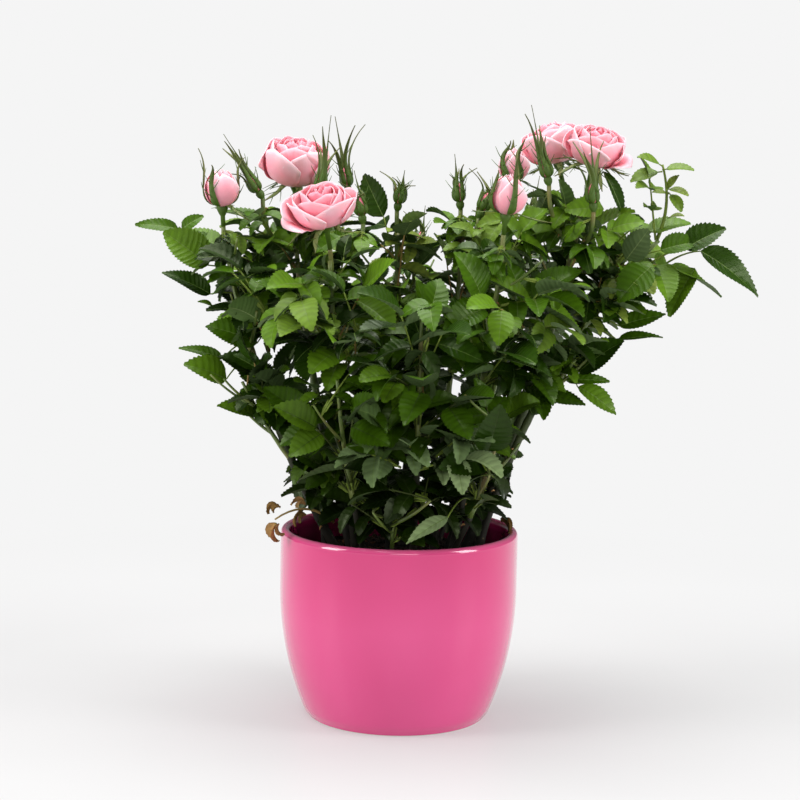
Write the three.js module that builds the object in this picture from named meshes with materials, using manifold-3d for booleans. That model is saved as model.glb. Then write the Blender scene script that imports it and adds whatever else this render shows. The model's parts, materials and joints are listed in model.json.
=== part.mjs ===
// A miniature rose bush in bloom, in its glazed pot.
//
// Millimetres, +Z up, +X to the right and +Y to the back. The origin is the centre of the pot's
// flat underside. Bare canes rise from the compost, each leans out and carries a foliage mass:
// a stem that branches by a seeded rule into twigs, pinnate leaves and green flower buds. The
// open roses and the pink buds stand on flower stalks at the tips of the masses.
import * as THREE from "three";
import { mergeVertices } from "three/addons/utils/BufferGeometryUtils.js";
import Module from "manifold-3d";

const wasm = await Module();
wasm.setup();

// ---- Driving dimensions ---------------------------------------------------------------------

const clearance = 0.3; // between pieces that touch
const smallest = 0.02; // no feature of a fused body is smaller

const pot = {
  height: 112,
  rimRadius: 70,
  bellyHeight: 78, // the wall is upright above this
  baseRadius: 53.5,
  wall: 5.5,
  floor: 7,
  edge: 2.5, // rounding of the rim and of the foot
  lip: 0.6, // from the rounded edges' shoulders up to the rim's top
  draw: 2.1, // how suddenly the wall draws in towards the foot
  outerRings: [12, 27, 46], // heights at which the drawn-in wall is cut into rings
  innerRings: [56, 13],
  inset: 3, // of the floor's corner inside the wall
  sides: 34,
};
const soil = { top: 95, shrink: 1.2, footInset: 5 };

const cane = { sides: 5, steps: 3, flare: 0.45, flareLength: 0.1 };
const stem = { sides: 5, steps: 3, taper: 0.55 };
const twig = {
  sides: 3,
  steps: 2,
  radius: 1.1,
  swell: 1.15, // of its radius at its root
  thinning: 0.35,
  from: 0.35, // along the mass's stem
  flowerFrom: 0.8,
  length: 26,
  lengthSpread: 14,
  rise: 0.55,
  riseSpread: 0.5,
  homing: 0.12, // how far it leans to the middle of the mass's space
  sag: 0.1,
  tries: 16,
};

const leaf = {
  petioleRadius: 0.95,
  petioleThinning: 0.4,
  nearOwn: 0.15, // share of its stalk that may run beside the limb it leaves
  fillFrom: 0.3, // share of its stalk past which other leaves keep clear of it
  arch: 0.1, // how far a leaf arches up, as a share of its length
  pairAngle: THREE.MathUtils.degToRad(62),
  pairSag: 0.22,
  outward: 0.7, // how far a leaf turns its face from the sky to the open side of the bush
  forward: 0.4, // and to the front, where its light came from
  pairs: [0.82, 0.46], // where the side leaflets stand along the leaf's stalk
  pairSizes: [0.84, 0.66], // beside the end leaflet
  endLength: 22,
  endLengthSpread: 9,
  endShare: 0.5, // the longest that an end leaflet is, beside its leaf
  reach: 2.25, // of the end leaflet's length
  stretches: [1, 0.85, 1.15, 0.7], // of that reach, tried in turn
  roll: 1.1, // radians, from side to side
  furthestRoll: 0.6,
  inner: 0.4, // nearest and furthest from the middle of the space that its tip stands
  outer: 0.98,
  originFrom: 0.05, // along the mass's stem past its entry, and along a twig
  twigOriginFrom: 0.3,
  originSpacing: 4,
  hang: 12, // how far its tip hangs below its origin at no cost
  hangCost: 0.6,
  tries: 90, // places tried for a leaf before it is skipped
};
const leaflet = {
  width: 0.68, // of its length
  widest: 0.42, // along its length
  cup: 0.72, // from its midrib up to the line between its edges, beside its shoot's girth
  rootWidth: 1.8, // of its stalk that it grows from
  testSpacing: 3,
};
const gap = 4.6; // kept between a limb or leaf and the next
const soilGap = 3;
const rimGap = 2;

const rose = { stalk: 12, stalkRadius: 1.5, hipRadius: 3.4, hipLength: 6, lobe: 0.1 };
const greenBud = { radius: 3.8, length: 14, sepals: 2 };
const sepalRadius = { root: 1.6, thinning: 1.2 };
const room = { bud: 9, budShare: 0.2, rose: 1.1, roseMargin: 3, roseHeight: 0.8 };

const up = new THREE.Vector3(0, 0, 1);
const front = new THREE.Vector3(0, -1, 0);

// Each shoot rises from its foot [x, y] on the compost, or from a point `at` along the cane it is
// `from`, to its top. The share up to `enters` is a bare cane, and the rest is the stem of a
// foliage mass. `space` is the centre and the radii of the ellipsoid that the mass keeps to.
// `reach` has the tips [x, y, z] of its furthest leaves, each with its end leaflet's length.
// `buds` are closed flower buds, each from the end of its twig to the tip of its sepals, and
// `roses` are flowers, by where their stalks begin.
const shoots = [
  {
    name: "left_outer", foot: [-34, -8], top: [-104, -20, 286], lean: 0.72, rise: 0.45,
    enters: 0.5, girth: 2.3, leafCount: 6,
    space: [[-104, -18, 256], [38, 46, 42]],
    reach: [[-150, 0, 290, 30], [-134, -22, 274, 24], [-124, 0, 252, 24]],
    roses: [{ name: "bud_left", size: 9, form: "bud", at: [-104, -20, 289], faces: [-0.05, -0.1, 1] }],
  },
  {
    name: "left_low", from: "left_outer", at: 0.32, top: [-92, -24, 200], lean: 0.5, rise: 0.4,
    enters: 0, girth: 1.5, leafCount: 8,
    space: [[-86, -24, 204], [36, 38, 34]],
    reach: [[-124, -14, 218, 28], [-106, -32, 192, 24]],
  },
  {
    name: "left_back", foot: [-28, 10], top: [-66, 26, 290], lean: 0.75, rise: 0.5,
    enters: 0.55, girth: 2.2, leafCount: 5,
    space: [[-70, 38, 262], [48, 44, 42]],
    reach: [[-96, 30, 302, 24], [-28, 30, 304, 26]],
    buds: [[[-82, -14, 305], [-105, -14, 341]], [[-50, -10, 303], [-44, -8, 353]], [[-34, 42, 306], [-43, 42, 352]]],
    roses: [{ name: "rose_left_high", size: 20.5, form: "open", at: [-66, 26, 298], faces: [-0.1, -0.3, 1] }],
  },
  {
    name: "left_front", foot: [-24, -16], top: [-42, -46, 272], lean: 0.7, rise: 0.5,
    enters: 0.5, girth: 2.1, leafCount: 6,
    space: [[-46, -58, 242], [46, 42, 42]],
    reach: [[-72, -58, 266, 28], [-12, -60, 276, 28]],
    buds: [[[-24, -20, 292], [-30, -20, 322]]],
    roses: [{ name: "rose_left_low", size: 20, form: "open", at: [-42, -46, 279], faces: [-0.12, -0.5, 1] }],
  },
  {
    name: "middle", foot: [-6, 6], top: [-4, 10, 286], lean: 0.5, rise: 0.5,
    enters: 0.45, girth: 1.9, leafCount: 5,
    space: [[-6, 12, 250], [44, 42, 50]],
    reach: [[-20, 20, 316, 26], [2, -16, 304, 24], [14, 12, 282, 22]],
    buds: [[[-5, 12, 298], [-1, 8, 322]]],
  },
  {
    name: "right_inner", foot: [20, -2], top: [34, 0, 288], lean: 0.5, rise: 0.5,
    enters: 0.5, girth: 1.9, leafCount: 5,
    space: [[38, 6, 254], [38, 42, 44]],
    reach: [[48, 12, 308, 26], [22, -18, 286, 24]],
    buds: [[[32, 2, 300], [28, 2, 332]], [[42, -14, 296], [52, -16, 322]]],
  },
  {
    name: "right_front", foot: [30, -18], top: [55, -50, 282], lean: 0.6, rise: 0.5,
    enters: 0.48, girth: 2.1, leafCount: 7,
    space: [[66, -58, 246], [48, 42, 46]],
    reach: [[92, -68, 278, 32], [40, -72, 276, 30]],
    roses: [
      { name: "bud_right_low", size: 9.5, form: "bud", at: [55, -50, 289], faces: [0.08, -0.1, 1] },
      { name: "bud_right_high", size: 8, form: "bud", at: [61, -16, 306], faces: [0, 0, 1] },
    ],
  },
  {
    name: "right_back", foot: [38, 8], top: [102, -2, 300], lean: 0.7, rise: 0.5,
    enters: 0.5, girth: 2.6, leafCount: 5,
    space: [[98, 20, 262], [44, 46, 46]],
    reach: [[120, -14, 308, 24], [74, 18, 302, 26], [132, -6, 290, 28]],
    buds: [[[81, -28, 316], [70, -29, 361]], [[106, -36, 302], [102, -38, 350]]],
    roses: [
      { name: "rose_right_front", size: 20, form: "open", at: [104, -4, 310], faces: [0.35, -0.35, 1] },
      { name: "rose_right_back", size: 18, form: "open", at: [94, 24, 310], faces: [-0.25, 0.1, 1] },
    ],
  },
  {
    name: "right_outer", foot: [44, -13], top: [148, 6, 284], lean: 0.3, rise: 0.63,
    enters: 0.5, girth: 2.2, leafCount: 6,
    space: [[136, 4, 258], [46, 48, 38]],
    reach: [
      [144, 9, 333, 16], [207, -12, 264, 34], [186, 14, 300, 28], [164, -26, 250, 25],
      [156, 24, 242, 24],
    ],
  },
  {
    name: "right_low", from: "right_outer", at: 0.42, top: [100, -18, 216], lean: 0.5, rise: 0.5,
    enters: 0, girth: 1.53, leafCount: 7,
    space: [[100, -16, 216], [36, 40, 34]],
    reach: [[126, -20, 193, 25], [134, -14, 226, 24]],
  },
  {
    name: "front_left", foot: [-18, -30], top: [-36, -72, 208], lean: 0.75, rise: 0.5,
    enters: 0.35, girth: 1.7, leafCount: 8,
    space: [[-32, -62, 186], [40, 36, 46]],
    reach: [[-72, -56, 200, 26]],
  },
  {
    name: "front_middle", foot: [8, -30], top: [10, -72, 244], lean: 0.75, rise: 0.5,
    enters: 0.4, girth: 1.8, leafCount: 9,
    space: [[8, -66, 216], [48, 40, 58]],
    reach: [[-10, -84, 266, 27], [30, -88, 254, 26]],
  },
  {
    name: "front_right", foot: [26, -32], top: [56, -64, 188], lean: 0.75, rise: 0.5,
    enters: 0.35, girth: 1.7, leafCount: 5,
    space: [[44, -58, 176], [37, 36, 42]],
    reach: [[84, -44, 202, 26]],
  },
  {
    name: "low_front", foot: [-4, -48], top: [-4, -56, 146], lean: 0.6, rise: 0.6,
    enters: 0.25, girth: 1.3, leafCount: 6,
    space: [[2, -44, 140], [56, 32, 32]],
    reach: [[10, -76, 122, 24], [-40, -62, 146, 24]],
  },
  {
    name: "low_left", foot: [-44, 0], top: [-48, 0, 152], lean: 0.5, rise: 0.5,
    enters: 0.25, girth: 1.4, leafCount: 6,
    space: [[-36, 2, 150], [38, 40, 40]],
    reach: [[-72, -14, 158, 22]],
  },
  {
    name: "low_right", foot: [48, 14], top: [46, 12, 152], lean: 0.5, rise: 0.5,
    enters: 0.25, girth: 1.35, leafCount: 5,
    space: [[34, 8, 150], [38, 42, 42]],
    reach: [[70, 14, 180, 24]],
  },
  {
    name: "back_left", foot: [-24, 24], top: [-58, 72, 268], lean: 0.7, rise: 0.5,
    enters: 0.42, girth: 2.1, leafCount: 5,
    space: [[-60, 74, 236], [50, 40, 54]],
    reach: [[-104, 66, 256, 28], [-60, 114, 250, 28]],
  },
  {
    name: "back_middle", foot: [2, 28], top: [6, 82, 258], lean: 0.7, rise: 0.5,
    enters: 0.42, girth: 2, leafCount: 6,
    space: [[4, 80, 224], [44, 40, 52]],
    reach: [[6, 122, 240, 28]],
    buds: [[[8, 86, 266], [12, 90, 298]]],
  },
  {
    name: "back_right", foot: [30, 26], top: [72, 72, 272], lean: 0.7, rise: 0.5,
    enters: 0.42, girth: 2.1, leafCount: 4,
    space: [[74, 72, 240], [50, 40, 54]],
    reach: [[120, 66, 260, 28], [78, 112, 248, 28]],
    buds: [[[76, 76, 282], [82, 80, 318]]],
  },
  {
    name: "low_back_left", foot: [-30, 38], top: [-48, 52, 168], lean: 0.6, rise: 0.5,
    enters: 0.3, girth: 1.4, leafCount: 4,
    space: [[-46, 52, 162], [42, 36, 42]],
    reach: [[-84, 44, 186, 24]],
  },
  {
    name: "low_back_right", foot: [24, 44], top: [46, 60, 168], lean: 0.6, rise: 0.5,
    enters: 0.3, girth: 1.4, leafCount: 5,
    space: [[42, 58, 162], [42, 36, 42]],
    reach: [[82, 52, 188, 24]],
  },
];

const barkColour = 0x4c5a2a;
const leafColours = [0x3c5a26, 0x47672c, 0x345022];
const petalColour = 0xf2a9ba;

// ---- Small tools ----------------------------------------------------------------------------

const point = (xyz) => new THREE.Vector3(...xyz);
const along = (origin, direction, distance) => origin.clone().addScaledVector(direction, distance);

// Repeatable numbers from 0 to 1, one series for each seed.
function randomSeries(seed) {
  let state = seed * 7919 + 104729;
  const next = () => {
    state = (state * 16807) % 2147483647;
    return state / 2147483647;
  };
  next();
  next();
  return next;
}

function solidFrom(geometry) {
  const shape = geometry.clone();
  shape.deleteAttribute("normal");
  shape.deleteAttribute("uv");
  const merged = mergeVertices(shape, 1e-4);
  return new wasm.Manifold(
    new wasm.Mesh({
      numProp: 3,
      vertProperties: new Float32Array(merged.attributes.position.array),
      triVerts: new Uint32Array(merged.index.array),
    }),
  );
}

function geometryFrom(solid) {
  const mesh = solid.getMesh();
  return new THREE.BufferGeometry()
    .setAttribute("position", new THREE.BufferAttribute(mesh.vertProperties, 3))
    .setIndex(new THREE.BufferAttribute(mesh.triVerts, 1));
}

// One body: what the pieces make together, without any scrap that stands loose.
function fuse(pieces) {
  const bodies = pieces.reduce((sum, piece) => sum.add(piece)).decompose();
  const whole = bodies.reduce((most, body) => (body.volume() > most.volume() ? body : most));
  return whole.simplify(smallest);
}

// Moves every vertex of a geometry by a function from its old place to its new one.
function reshape(geometry, place) {
  const position = geometry.attributes.position;
  const vertex = new THREE.Vector3();
  for (let i = 0; i < position.count; i++) {
    vertex.fromBufferAttribute(position, i);
    const moved = place(vertex);
    position.setXYZ(i, moved.x, moved.y, moved.z);
  }
  return geometry;
}

// The middle line of a shoot: it leaves its foot, leans out and turns up towards its top.
function shootCurve(foot, top, lean, rise) {
  const bend = foot.clone().lerp(top, lean);
  bend.z = foot.z + (top.z - foot.z) * rise;
  return new THREE.QuadraticBezierCurve3(foot, bend, top);
}

// A tapering limb of flat sides along part of a curve. radiusAt gives its radius at a share of
// the curve. With levelFoot its first face is level, as a cane is on the compost.
function limb(curve, from, to, radiusAt, sides, steps, levelFoot = false) {
  const tube = new THREE.CylinderGeometry(1, 1, 1, sides, steps);
  return reshape(tube, (v) => {
    const share = from + (to - from) * (v.y + 0.5);
    const first = levelFoot && v.y < -0.49;
    const tangent = first ? up : curve.getTangent(share);
    const side = new THREE.Vector3(1, 0.3, 0).cross(tangent).normalize();
    const other = tangent.clone().cross(side);
    const radius = radiusAt(share);
    return curve
      .getPoint(share)
      .addScaledVector(side, -v.x * radius)
      .addScaledVector(other, v.z * radius);
  });
}

// ---- The room that is taken -----------------------------------------------------------------

// Small cubes of space that limbs, leaves and flowers fill, each with the number of the shoot that
// fills it, so that a new leaf can keep clear of all that stands there already.
const cube = 1.5;
const shared = -1;
const taken = new Map();
const keyOf = (i, j, k) => ((i + 400) * 800 + (j + 400)) * 800 + (k + 400);
const cubeOf = (value) => Math.round(value / cube);

function fillAround(p, radius, owner) {
  const [x, y, z] = [cubeOf(p.x), cubeOf(p.y), cubeOf(p.z)];
  const reach = radius / cube;
  const limit = Math.floor(reach);
  for (let i = -limit; i <= limit; i++) {
    for (let j = -limit; j <= limit; j++) {
      for (let k = -limit; k <= limit; k++) {
        if (i * i + j * j + k * k > reach * reach) continue;
        const key = keyOf(x + i, y + j, z + k);
        const before = taken.get(key) ?? owner;
        taken.set(key, before === owner ? owner : shared);
      }
    }
  }
}

const fill = (points, radius, owner) => points.forEach((p) => fillAround(p, radius + gap, owner));
const ownerAt = (p) => taken.get(keyOf(cubeOf(p.x), cubeOf(p.y), cubeOf(p.z)));

function isClearOfPot(p) {
  const fromAxis = Math.hypot(p.x, p.y);
  const inner = pot.rimRadius - pot.wall - rimGap;
  const atWall = fromAxis > inner && fromAxis < pot.rimRadius + rimGap;
  return p.z > soil.top + soilGap && !(atWall && p.z < pot.height + rimGap);
}

const isFree = (p) => isClearOfPot(p) && ownerAt(p) === undefined;
const isClearOfOthers = (owner) => (p) => isClearOfPot(p) && (ownerAt(p) ?? owner) === owner;

const inSpace = (p, [centre, radii]) =>
  ((p.x - centre[0]) / radii[0]) ** 2 +
    ((p.y - centre[1]) / radii[1]) ** 2 +
    ((p.z - centre[2]) / radii[2]) ** 2 <
  1;

// Points every few millimetres along a curve.
function pointsAlong(curve, from, to, spacing = 3) {
  const count = Math.max(2, Math.ceil((curve.getLength() * (to - from)) / spacing));
  return Array.from({ length: count + 1 }, (_, i) =>
    curve.getPoint(from + ((to - from) * i) / count),
  );
}

// ---- Leaves ---------------------------------------------------------------------------------

// What a leaf at a place faces.
function lightAt(p) {
  const outward = new THREE.Vector3(p.x, p.y, 0).normalize();
  return along(along(up, outward, leaf.outward), front, leaf.forward).normalize();
}

// A leaflet's frame: its root, its direction, the side across it and its upper face.
function makeLeaflet(root, direction, length, roll, light) {
  const across = light.clone().cross(direction).normalize();
  const face = direction.clone().cross(across);
  const side = across.clone().multiplyScalar(Math.cos(roll)).addScaledVector(face, Math.sin(roll));
  const normal = direction.clone().cross(side);
  return { root, direction, side, normal, length };
}

function leafletHalfWidth(length, share) {
  const rise = share < leaflet.widest ? share / leaflet.widest : (1 - share) / (1 - leaflet.widest);
  return (length * leaflet.width * rise) / 2;
}

// Points all over a leaflet, to test and to fill its room.
function leafletPoints({ root, direction, side, length }) {
  const points = [];
  const rows = Math.ceil(length / leaflet.testSpacing);
  for (let row = 1; row <= rows; row++) {
    const half = leafletHalfWidth(length, row / rows);
    const columns = Math.ceil((2 * half) / leaflet.testSpacing);
    for (let column = 0; column <= columns; column++) {
      const sideways = columns > 0 ? half * ((2 * column) / columns - 1) : 0;
      points.push(along(along(root, direction, (length * row) / rows), side, sideways));
    }
  }
  return points;
}

// A pinnate leaf from a twig to its tip: a stalk that arches up, pairs of leaflets and an end one.
function makeLeaf(origin, tip, endLength, roll) {
  const light = lightAt(tip);
  const reach = origin.distanceTo(tip);
  const length = Math.min(endLength, reach * leaf.endShare);
  const arch = along(origin.clone().lerp(tip, 0.5), up, leaf.arch * reach);
  const curve = new THREE.QuadraticBezierCurve3(origin, arch, tip);
  const stalkEnd = 1 - length / reach;
  const root = curve.getPoint(stalkEnd);
  const end = tip.clone().sub(root);
  const leaflets = [makeLeaflet(root, end.clone().normalize(), end.length(), roll, light)];
  leaf.pairs.forEach((pairShare, pair) => {
    const share = pairShare * stalkEnd;
    const tangent = curve.getTangent(share);
    const left = light.clone().cross(tangent).normalize();
    for (const hand of [1, -1]) {
      const direction = tangent
        .clone()
        .multiplyScalar(Math.cos(leaf.pairAngle))
        .addScaledVector(left, hand * Math.sin(leaf.pairAngle))
        .addScaledVector(up, -leaf.pairSag)
        .normalize();
      const from = curve.getPoint(share);
      const size = length * leaf.pairSizes[pair];
      leaflets.push({ ...makeLeaflet(from, direction, size, roll, light), share, hand });
    }
  });
  return { curve, stalkEnd, light, leaflets };
}

// Keeps the leaflets that are free and in the space, or returns null where the end one isn't.
function fitLeaf(made, owner, space) {
  const { curve, stalkEnd, leaflets } = made;
  if (!pointsAlong(curve, leaf.nearOwn, stalkEnd).every(isClearOfOthers(owner))) return null;
  const fits = space ? (p) => isFree(p) && inSpace(p, space) : isClearOfOthers(owner);
  const kept = leaflets.filter((each) => leafletPoints(each).every(fits));
  return kept[0] === leaflets[0] ? { ...made, leaflets: kept } : null;
}

function addLeaf(mass, fitted) {
  mass.leaves.push(fitted);
  fill(pointsAlong(fitted.curve, leaf.fillFrom, fitted.stalkEnd), leaf.petioleRadius, shared);
  fitted.leaflets.forEach((each) => fill(leafletPoints(each), 0, shared));
}

// ---- Growth ---------------------------------------------------------------------------------

// The radius of a cane, and of the stem that goes on from it, at a share of the shoot's curve.
function shootRadius({ girth, enters }) {
  return (share) => {
    const flare = 1 + cane.flare * Math.exp(-share / cane.flareLength);
    const taper = 1 - (1 - stem.taper) * Math.max(0, (share - enters) / (1 - enters));
    return girth * taper * (enters > 0 ? flare : 1);
  };
}

// A twig from a mass's stem to the foot of a flower, which it meets end to end.
function makeFlowerTwig(mass, { at, faces }) {
  const end = point(at);
  const start = mass.curve.getPoint(mass.enters + twig.flowerFrom * (1 - mass.enters));
  const bend = along(end, point(faces).normalize(), -0.5 * start.distanceTo(end));
  return new THREE.QuadraticBezierCurve3(start, bend, end);
}

// A side twig that leans to the middle of the mass's space.
function makeSideTwig(mass, share, turn, random) {
  const start = mass.curve.getPoint(mass.enters + share * (1 - mass.enters));
  const reach = twig.length + twig.lengthSpread * random();
  const rise = twig.rise + twig.riseSpread * random();
  const out = new THREE.Vector3(Math.cos(turn), Math.sin(turn), rise).normalize();
  const end = along(start, out, reach).lerp(point(mass.space[0]), twig.homing);
  const bend = along(start.clone().lerp(end, 0.5), up, -twig.sag * reach);
  return new THREE.QuadraticBezierCurve3(start, bend, end);
}

function startMass(shoot, number, others) {
  const parent = others.find((each) => each.name === shoot.from);
  const foot = parent ? parent.curve.getPoint(shoot.at) : point([...shoot.foot, soil.top + clearance]);
  const curve = shootCurve(foot, point(shoot.top), shoot.lean, shoot.rise);
  const mass = { buds: [], roses: [], ...shoot, number, parent, curve };
  mass.radiusAt = shootRadius(shoot);
  if (!parent) fill(pointsAlong(curve, 0, shoot.enters), shoot.girth, shared);
  fill(pointsAlong(curve, shoot.enters, 1), shoot.girth, number);
  return { ...mass, leaves: [], twigs: [] };
}

function growTwigs(mass) {
  const { number, space, buds, roses } = mass;
  const random = randomSeries(100 * number);
  const budTwigs = buds.map(([at]) => makeFlowerTwig(mass, { at, faces: [0, 0, 1] }));
  const roseTwigs = roses.map((each) => makeFlowerTwig(mass, each));
  mass.flowerTwigs = [...budTwigs, ...roseTwigs];
  mass.flowerTwigs.forEach((curve) => fill(pointsAlong(curve, 0, 1), twig.radius, number));
  buds.forEach(([at, tip]) => {
    fillAround(point(at).lerp(point(tip), room.budShare), room.bud, shared);
  });
  roses.forEach(({ at, faces, size }) => {
    const middle = along(point(at), point(faces).normalize(), rose.stalk + size * room.roseHeight);
    fillAround(middle, size * room.rose + room.roseMargin, shared);
  });
  for (let attempt = 0; attempt < twig.tries; attempt++) {
    const curve = makeSideTwig(mass, twig.from, 2 * Math.PI * random(), random);
    const points = pointsAlong(curve, 0.2, 1);
    if (!points.every((p) => isClearOfOthers(number)(p) && inSpace(p, space))) continue;
    mass.twigs.push(curve);
    fill(pointsAlong(curve, 0, 1), twig.radius, number);
    break;
  }
}

// Where a leaf to a tip would start: on the mass's limbs, a leaf's length away and not far above.
function leafOrigin(mass, tip, length) {
  const limbs = [mass.curve, ...mass.twigs];
  const shares = [mass.enters + leaf.originFrom, ...mass.twigs.map(() => leaf.twigOriginFrom)];
  const starts = limbs.flatMap((curve, i) => pointsAlong(curve, shares[i], 1, leaf.originSpacing));
  const hangOver = (p) => leaf.hangCost * Math.max(0, p.z - tip.z - leaf.hang);
  const cost = (p) => Math.abs(p.distanceTo(tip) - length) + hangOver(p);
  return starts.reduce((best, p) => (cost(p) < cost(best) ? p : best));
}

// The furthest leaves, which give the crown its outline.
function growReach(mass) {
  const random = randomSeries(100 * mass.number + 50);
  for (const [x, y, z, length] of mass.reach) {
    const tip = new THREE.Vector3(x, y, z);
    const roll = leaf.furthestRoll * (random() - 0.5);
    for (const stretch of leaf.stretches) {
      const origin = leafOrigin(mass, tip, leaf.reach * length * stretch);
      const fitted = fitLeaf(makeLeaf(origin, tip, length, roll), mass.number, null);
      if (!fitted) continue;
      addLeaf(mass, fitted);
      break;
    }
  }
}

// One more leaf of a mass: of several that its series proposes, the one with the most leaflets.
function growLeaf(mass, number) {
  const random = randomSeries(100 * mass.number + 51 + number);
  const [centre, radii] = mass.space;
  let best = null;
  for (let attempt = 0; attempt < leaf.tries; attempt++) {
    const turn = 2 * Math.PI * random();
    const height = 2 * random() - 1;
    const outward = leaf.inner + (leaf.outer - leaf.inner) * Math.sqrt(random());
    const length = leaf.endLength + leaf.endLengthSpread * random();
    const roll = leaf.roll * (random() - 0.5);
    const level = Math.sqrt(1 - height * height);
    const tip = new THREE.Vector3(
      centre[0] + radii[0] * outward * level * Math.cos(turn),
      centre[1] + radii[1] * outward * level * Math.sin(turn),
      centre[2] + radii[2] * outward * height,
    );
    const origin = leafOrigin(mass, tip, leaf.reach * length);
    const fitted = fitLeaf(makeLeaf(origin, tip, length, roll), mass.number, mass.space);
    if (fitted && fitted.leaflets.length > (best?.leaflets.length ?? 1)) best = fitted;
    if (best?.leaflets.length === 1 + 2 * leaf.pairs.length) break;
  }
  if (best) addLeaf(mass, best);
}

function growBush() {
  const masses = [];
  shoots.forEach((shoot, number) => masses.push(startMass(shoot, number, masses)));
  masses.forEach(growTwigs);
  masses.forEach(growReach);
  const most = Math.max(...masses.map((mass) => mass.leafCount));
  for (let number = 0; number < most; number++) {
    masses.filter((mass) => number < mass.leafCount).forEach((mass) => growLeaf(mass, number));
  }
  return masses;
}

// ---- Solids ---------------------------------------------------------------------------------

// A closed surface from its corners and the triangles between them.
function solidFromFaces(corners, faces) {
  const geometry = new THREE.BufferGeometry().setFromPoints(corners).setIndex(faces.flat());
  return solidFrom(geometry);
}

// A whole leaf. Its stalk is a three-sided tube, each ring being its left, top and right corners,
// and each leaflet grows out of one triangle of the tube.
function leafSolid({ curve, stalkEnd, light, leaflets }, girth) {
  const corners = [];
  const faces = [];
  const add = (corner) => corners.push(corner) - 1;
  const ringAt = (share) => {
    const centre = curve.getPoint(share);
    const tangent = curve.getTangent(share);
    const left = light.clone().cross(tangent).normalize();
    const face = tangent.clone().cross(left);
    const radius = leaf.petioleRadius * (1 - leaf.petioleThinning * share);
    const low = along(centre, face, -radius / 2);
    return [along(low, left, radius), along(centre, face, radius), along(low, left, -radius)].map(add);
  };
  const growFrom = ([a, b, c], grown) => {
    if (!grown) return faces.push([a, b, c]);
    const { root, direction, side, normal, length } = grown;
    const half = leafletHalfWidth(length, leaflet.widest);
    const middle = along(along(root, direction, length * leaflet.widest), normal, leaflet.cup * girth);
    const tip = add(along(root, direction, length));
    const [edge, other] = [add(along(middle, side, half)), add(along(middle, side, -half))];
    return faces.push([a, b, edge], [b, c, other], [c, a, tip], [a, edge, tip], [c, tip, other],
      [b, other, edge], [edge, other, tip]);
  };
  const width = leaflet.rootWidth / curve.getLength();
  const [high, low] = leaf.pairs.map((share) => share * stalkEnd);
  const shares = [0, low, low + width, high, stalkEnd];
  const rings = shares.map(ringAt);
  faces.push([rings[0][0], rings[0][2], rings[0][1]]);
  for (let i = 0; i + 1 < rings.length; i++) {
    const [left, top, right] = rings[i];
    const [nextLeft, nextTop, nextRight] = rings[i + 1];
    const here = (hand) => leaflets.find((each) => each.hand === hand && each.share === shares[i]);
    growFrom([left, nextTop, nextLeft], here(1));
    growFrom([nextRight, top, right], here(-1));
    faces.push([left, top, nextTop], [top, nextRight, nextTop], [right, left, nextLeft],
      [right, nextLeft, nextRight]);
  }
  growFrom(rings.at(-1), leaflets[0]);
  return solidFromFaces(corners, faces);
}

// Stands a geometry that was made upright on the origin at a place, facing a direction.
function stand(geometry, place, direction) {
  const turn = new THREE.Quaternion().setFromUnitVectors(up, direction);
  return geometry.clone().applyQuaternion(turn).translate(place.x, place.y, place.z);
}

// A turned shape about +Z from [radius, height] pairs that start and end on the axis.
function turned(profile, sides) {
  const points = profile.map(([radius, height]) => new THREE.Vector2(radius, height));
  return new THREE.LatheGeometry(points, sides).rotateX(Math.PI / 2);
}

// A narrow pointed sepal that rises out of a bud's side and leans away at its tip.
function sepal(turn, radius, foot, tip, spread) {
  const at = (distance, height) =>
    new THREE.Vector3(Math.cos(turn) * distance, Math.sin(turn) * distance, height);
  const curve = new THREE.QuadraticBezierCurve3(at(radius * 0.6, foot), at(radius, tip), at(spread, tip));
  const radiusAt = (share) => sepalRadius.root - sepalRadius.thinning * share;
  return limb(curve, 0, 1, radiusAt, twig.sides, twig.steps);
}

// A closed flower bud from the end of its twig to the tip of its longest sepal.
function greenBudSolids(base, tip, random) {
  const { radius, length, sepals } = greenBud;
  const shapes = [turned([[0, -2], [radius, length * 0.4], [0, length]], 5)];
  const reach = base.distanceTo(tip);
  for (let i = 0; i < sepals; i++) {
    const turn = (i / sepals) * 2 * Math.PI + random();
    const height = Math.max(length + 4, reach * (1 - 0.3 * i));
    shapes.push(sepal(turn, radius, length * 0.4, height, 2 + 5 * i));
  }
  const direction = tip.clone().sub(base).normalize();
  return shapes.map((shape) => solidFrom(stand(shape, base, direction)));
}

// The profile [radius, height] of a flower's stalk and of the hip under its petals.
const stalkProfile = [
  [0, 0],
  [rose.stalkRadius * 0.8, 0],
  [rose.stalkRadius, rose.stalk - rose.hipLength],
  [rose.hipRadius, rose.stalk - 1],
];

// The petals' profiles, as shares of the flower's size from the top of the stalk.
const petalProfiles = {
  open: [[0.5, 0.15], [0.93, 0.45], [1, 0.62], [0.62, 0.6], [0.68, 1.02], [0.42, 0.94], [0.3, 1.26], [0, 1.2]],
  bud: [[0.55, 0.1], [0.98, 0.8], [0.92, 1.35], [0.5, 2.15], [0, 2.4]],
};

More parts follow.
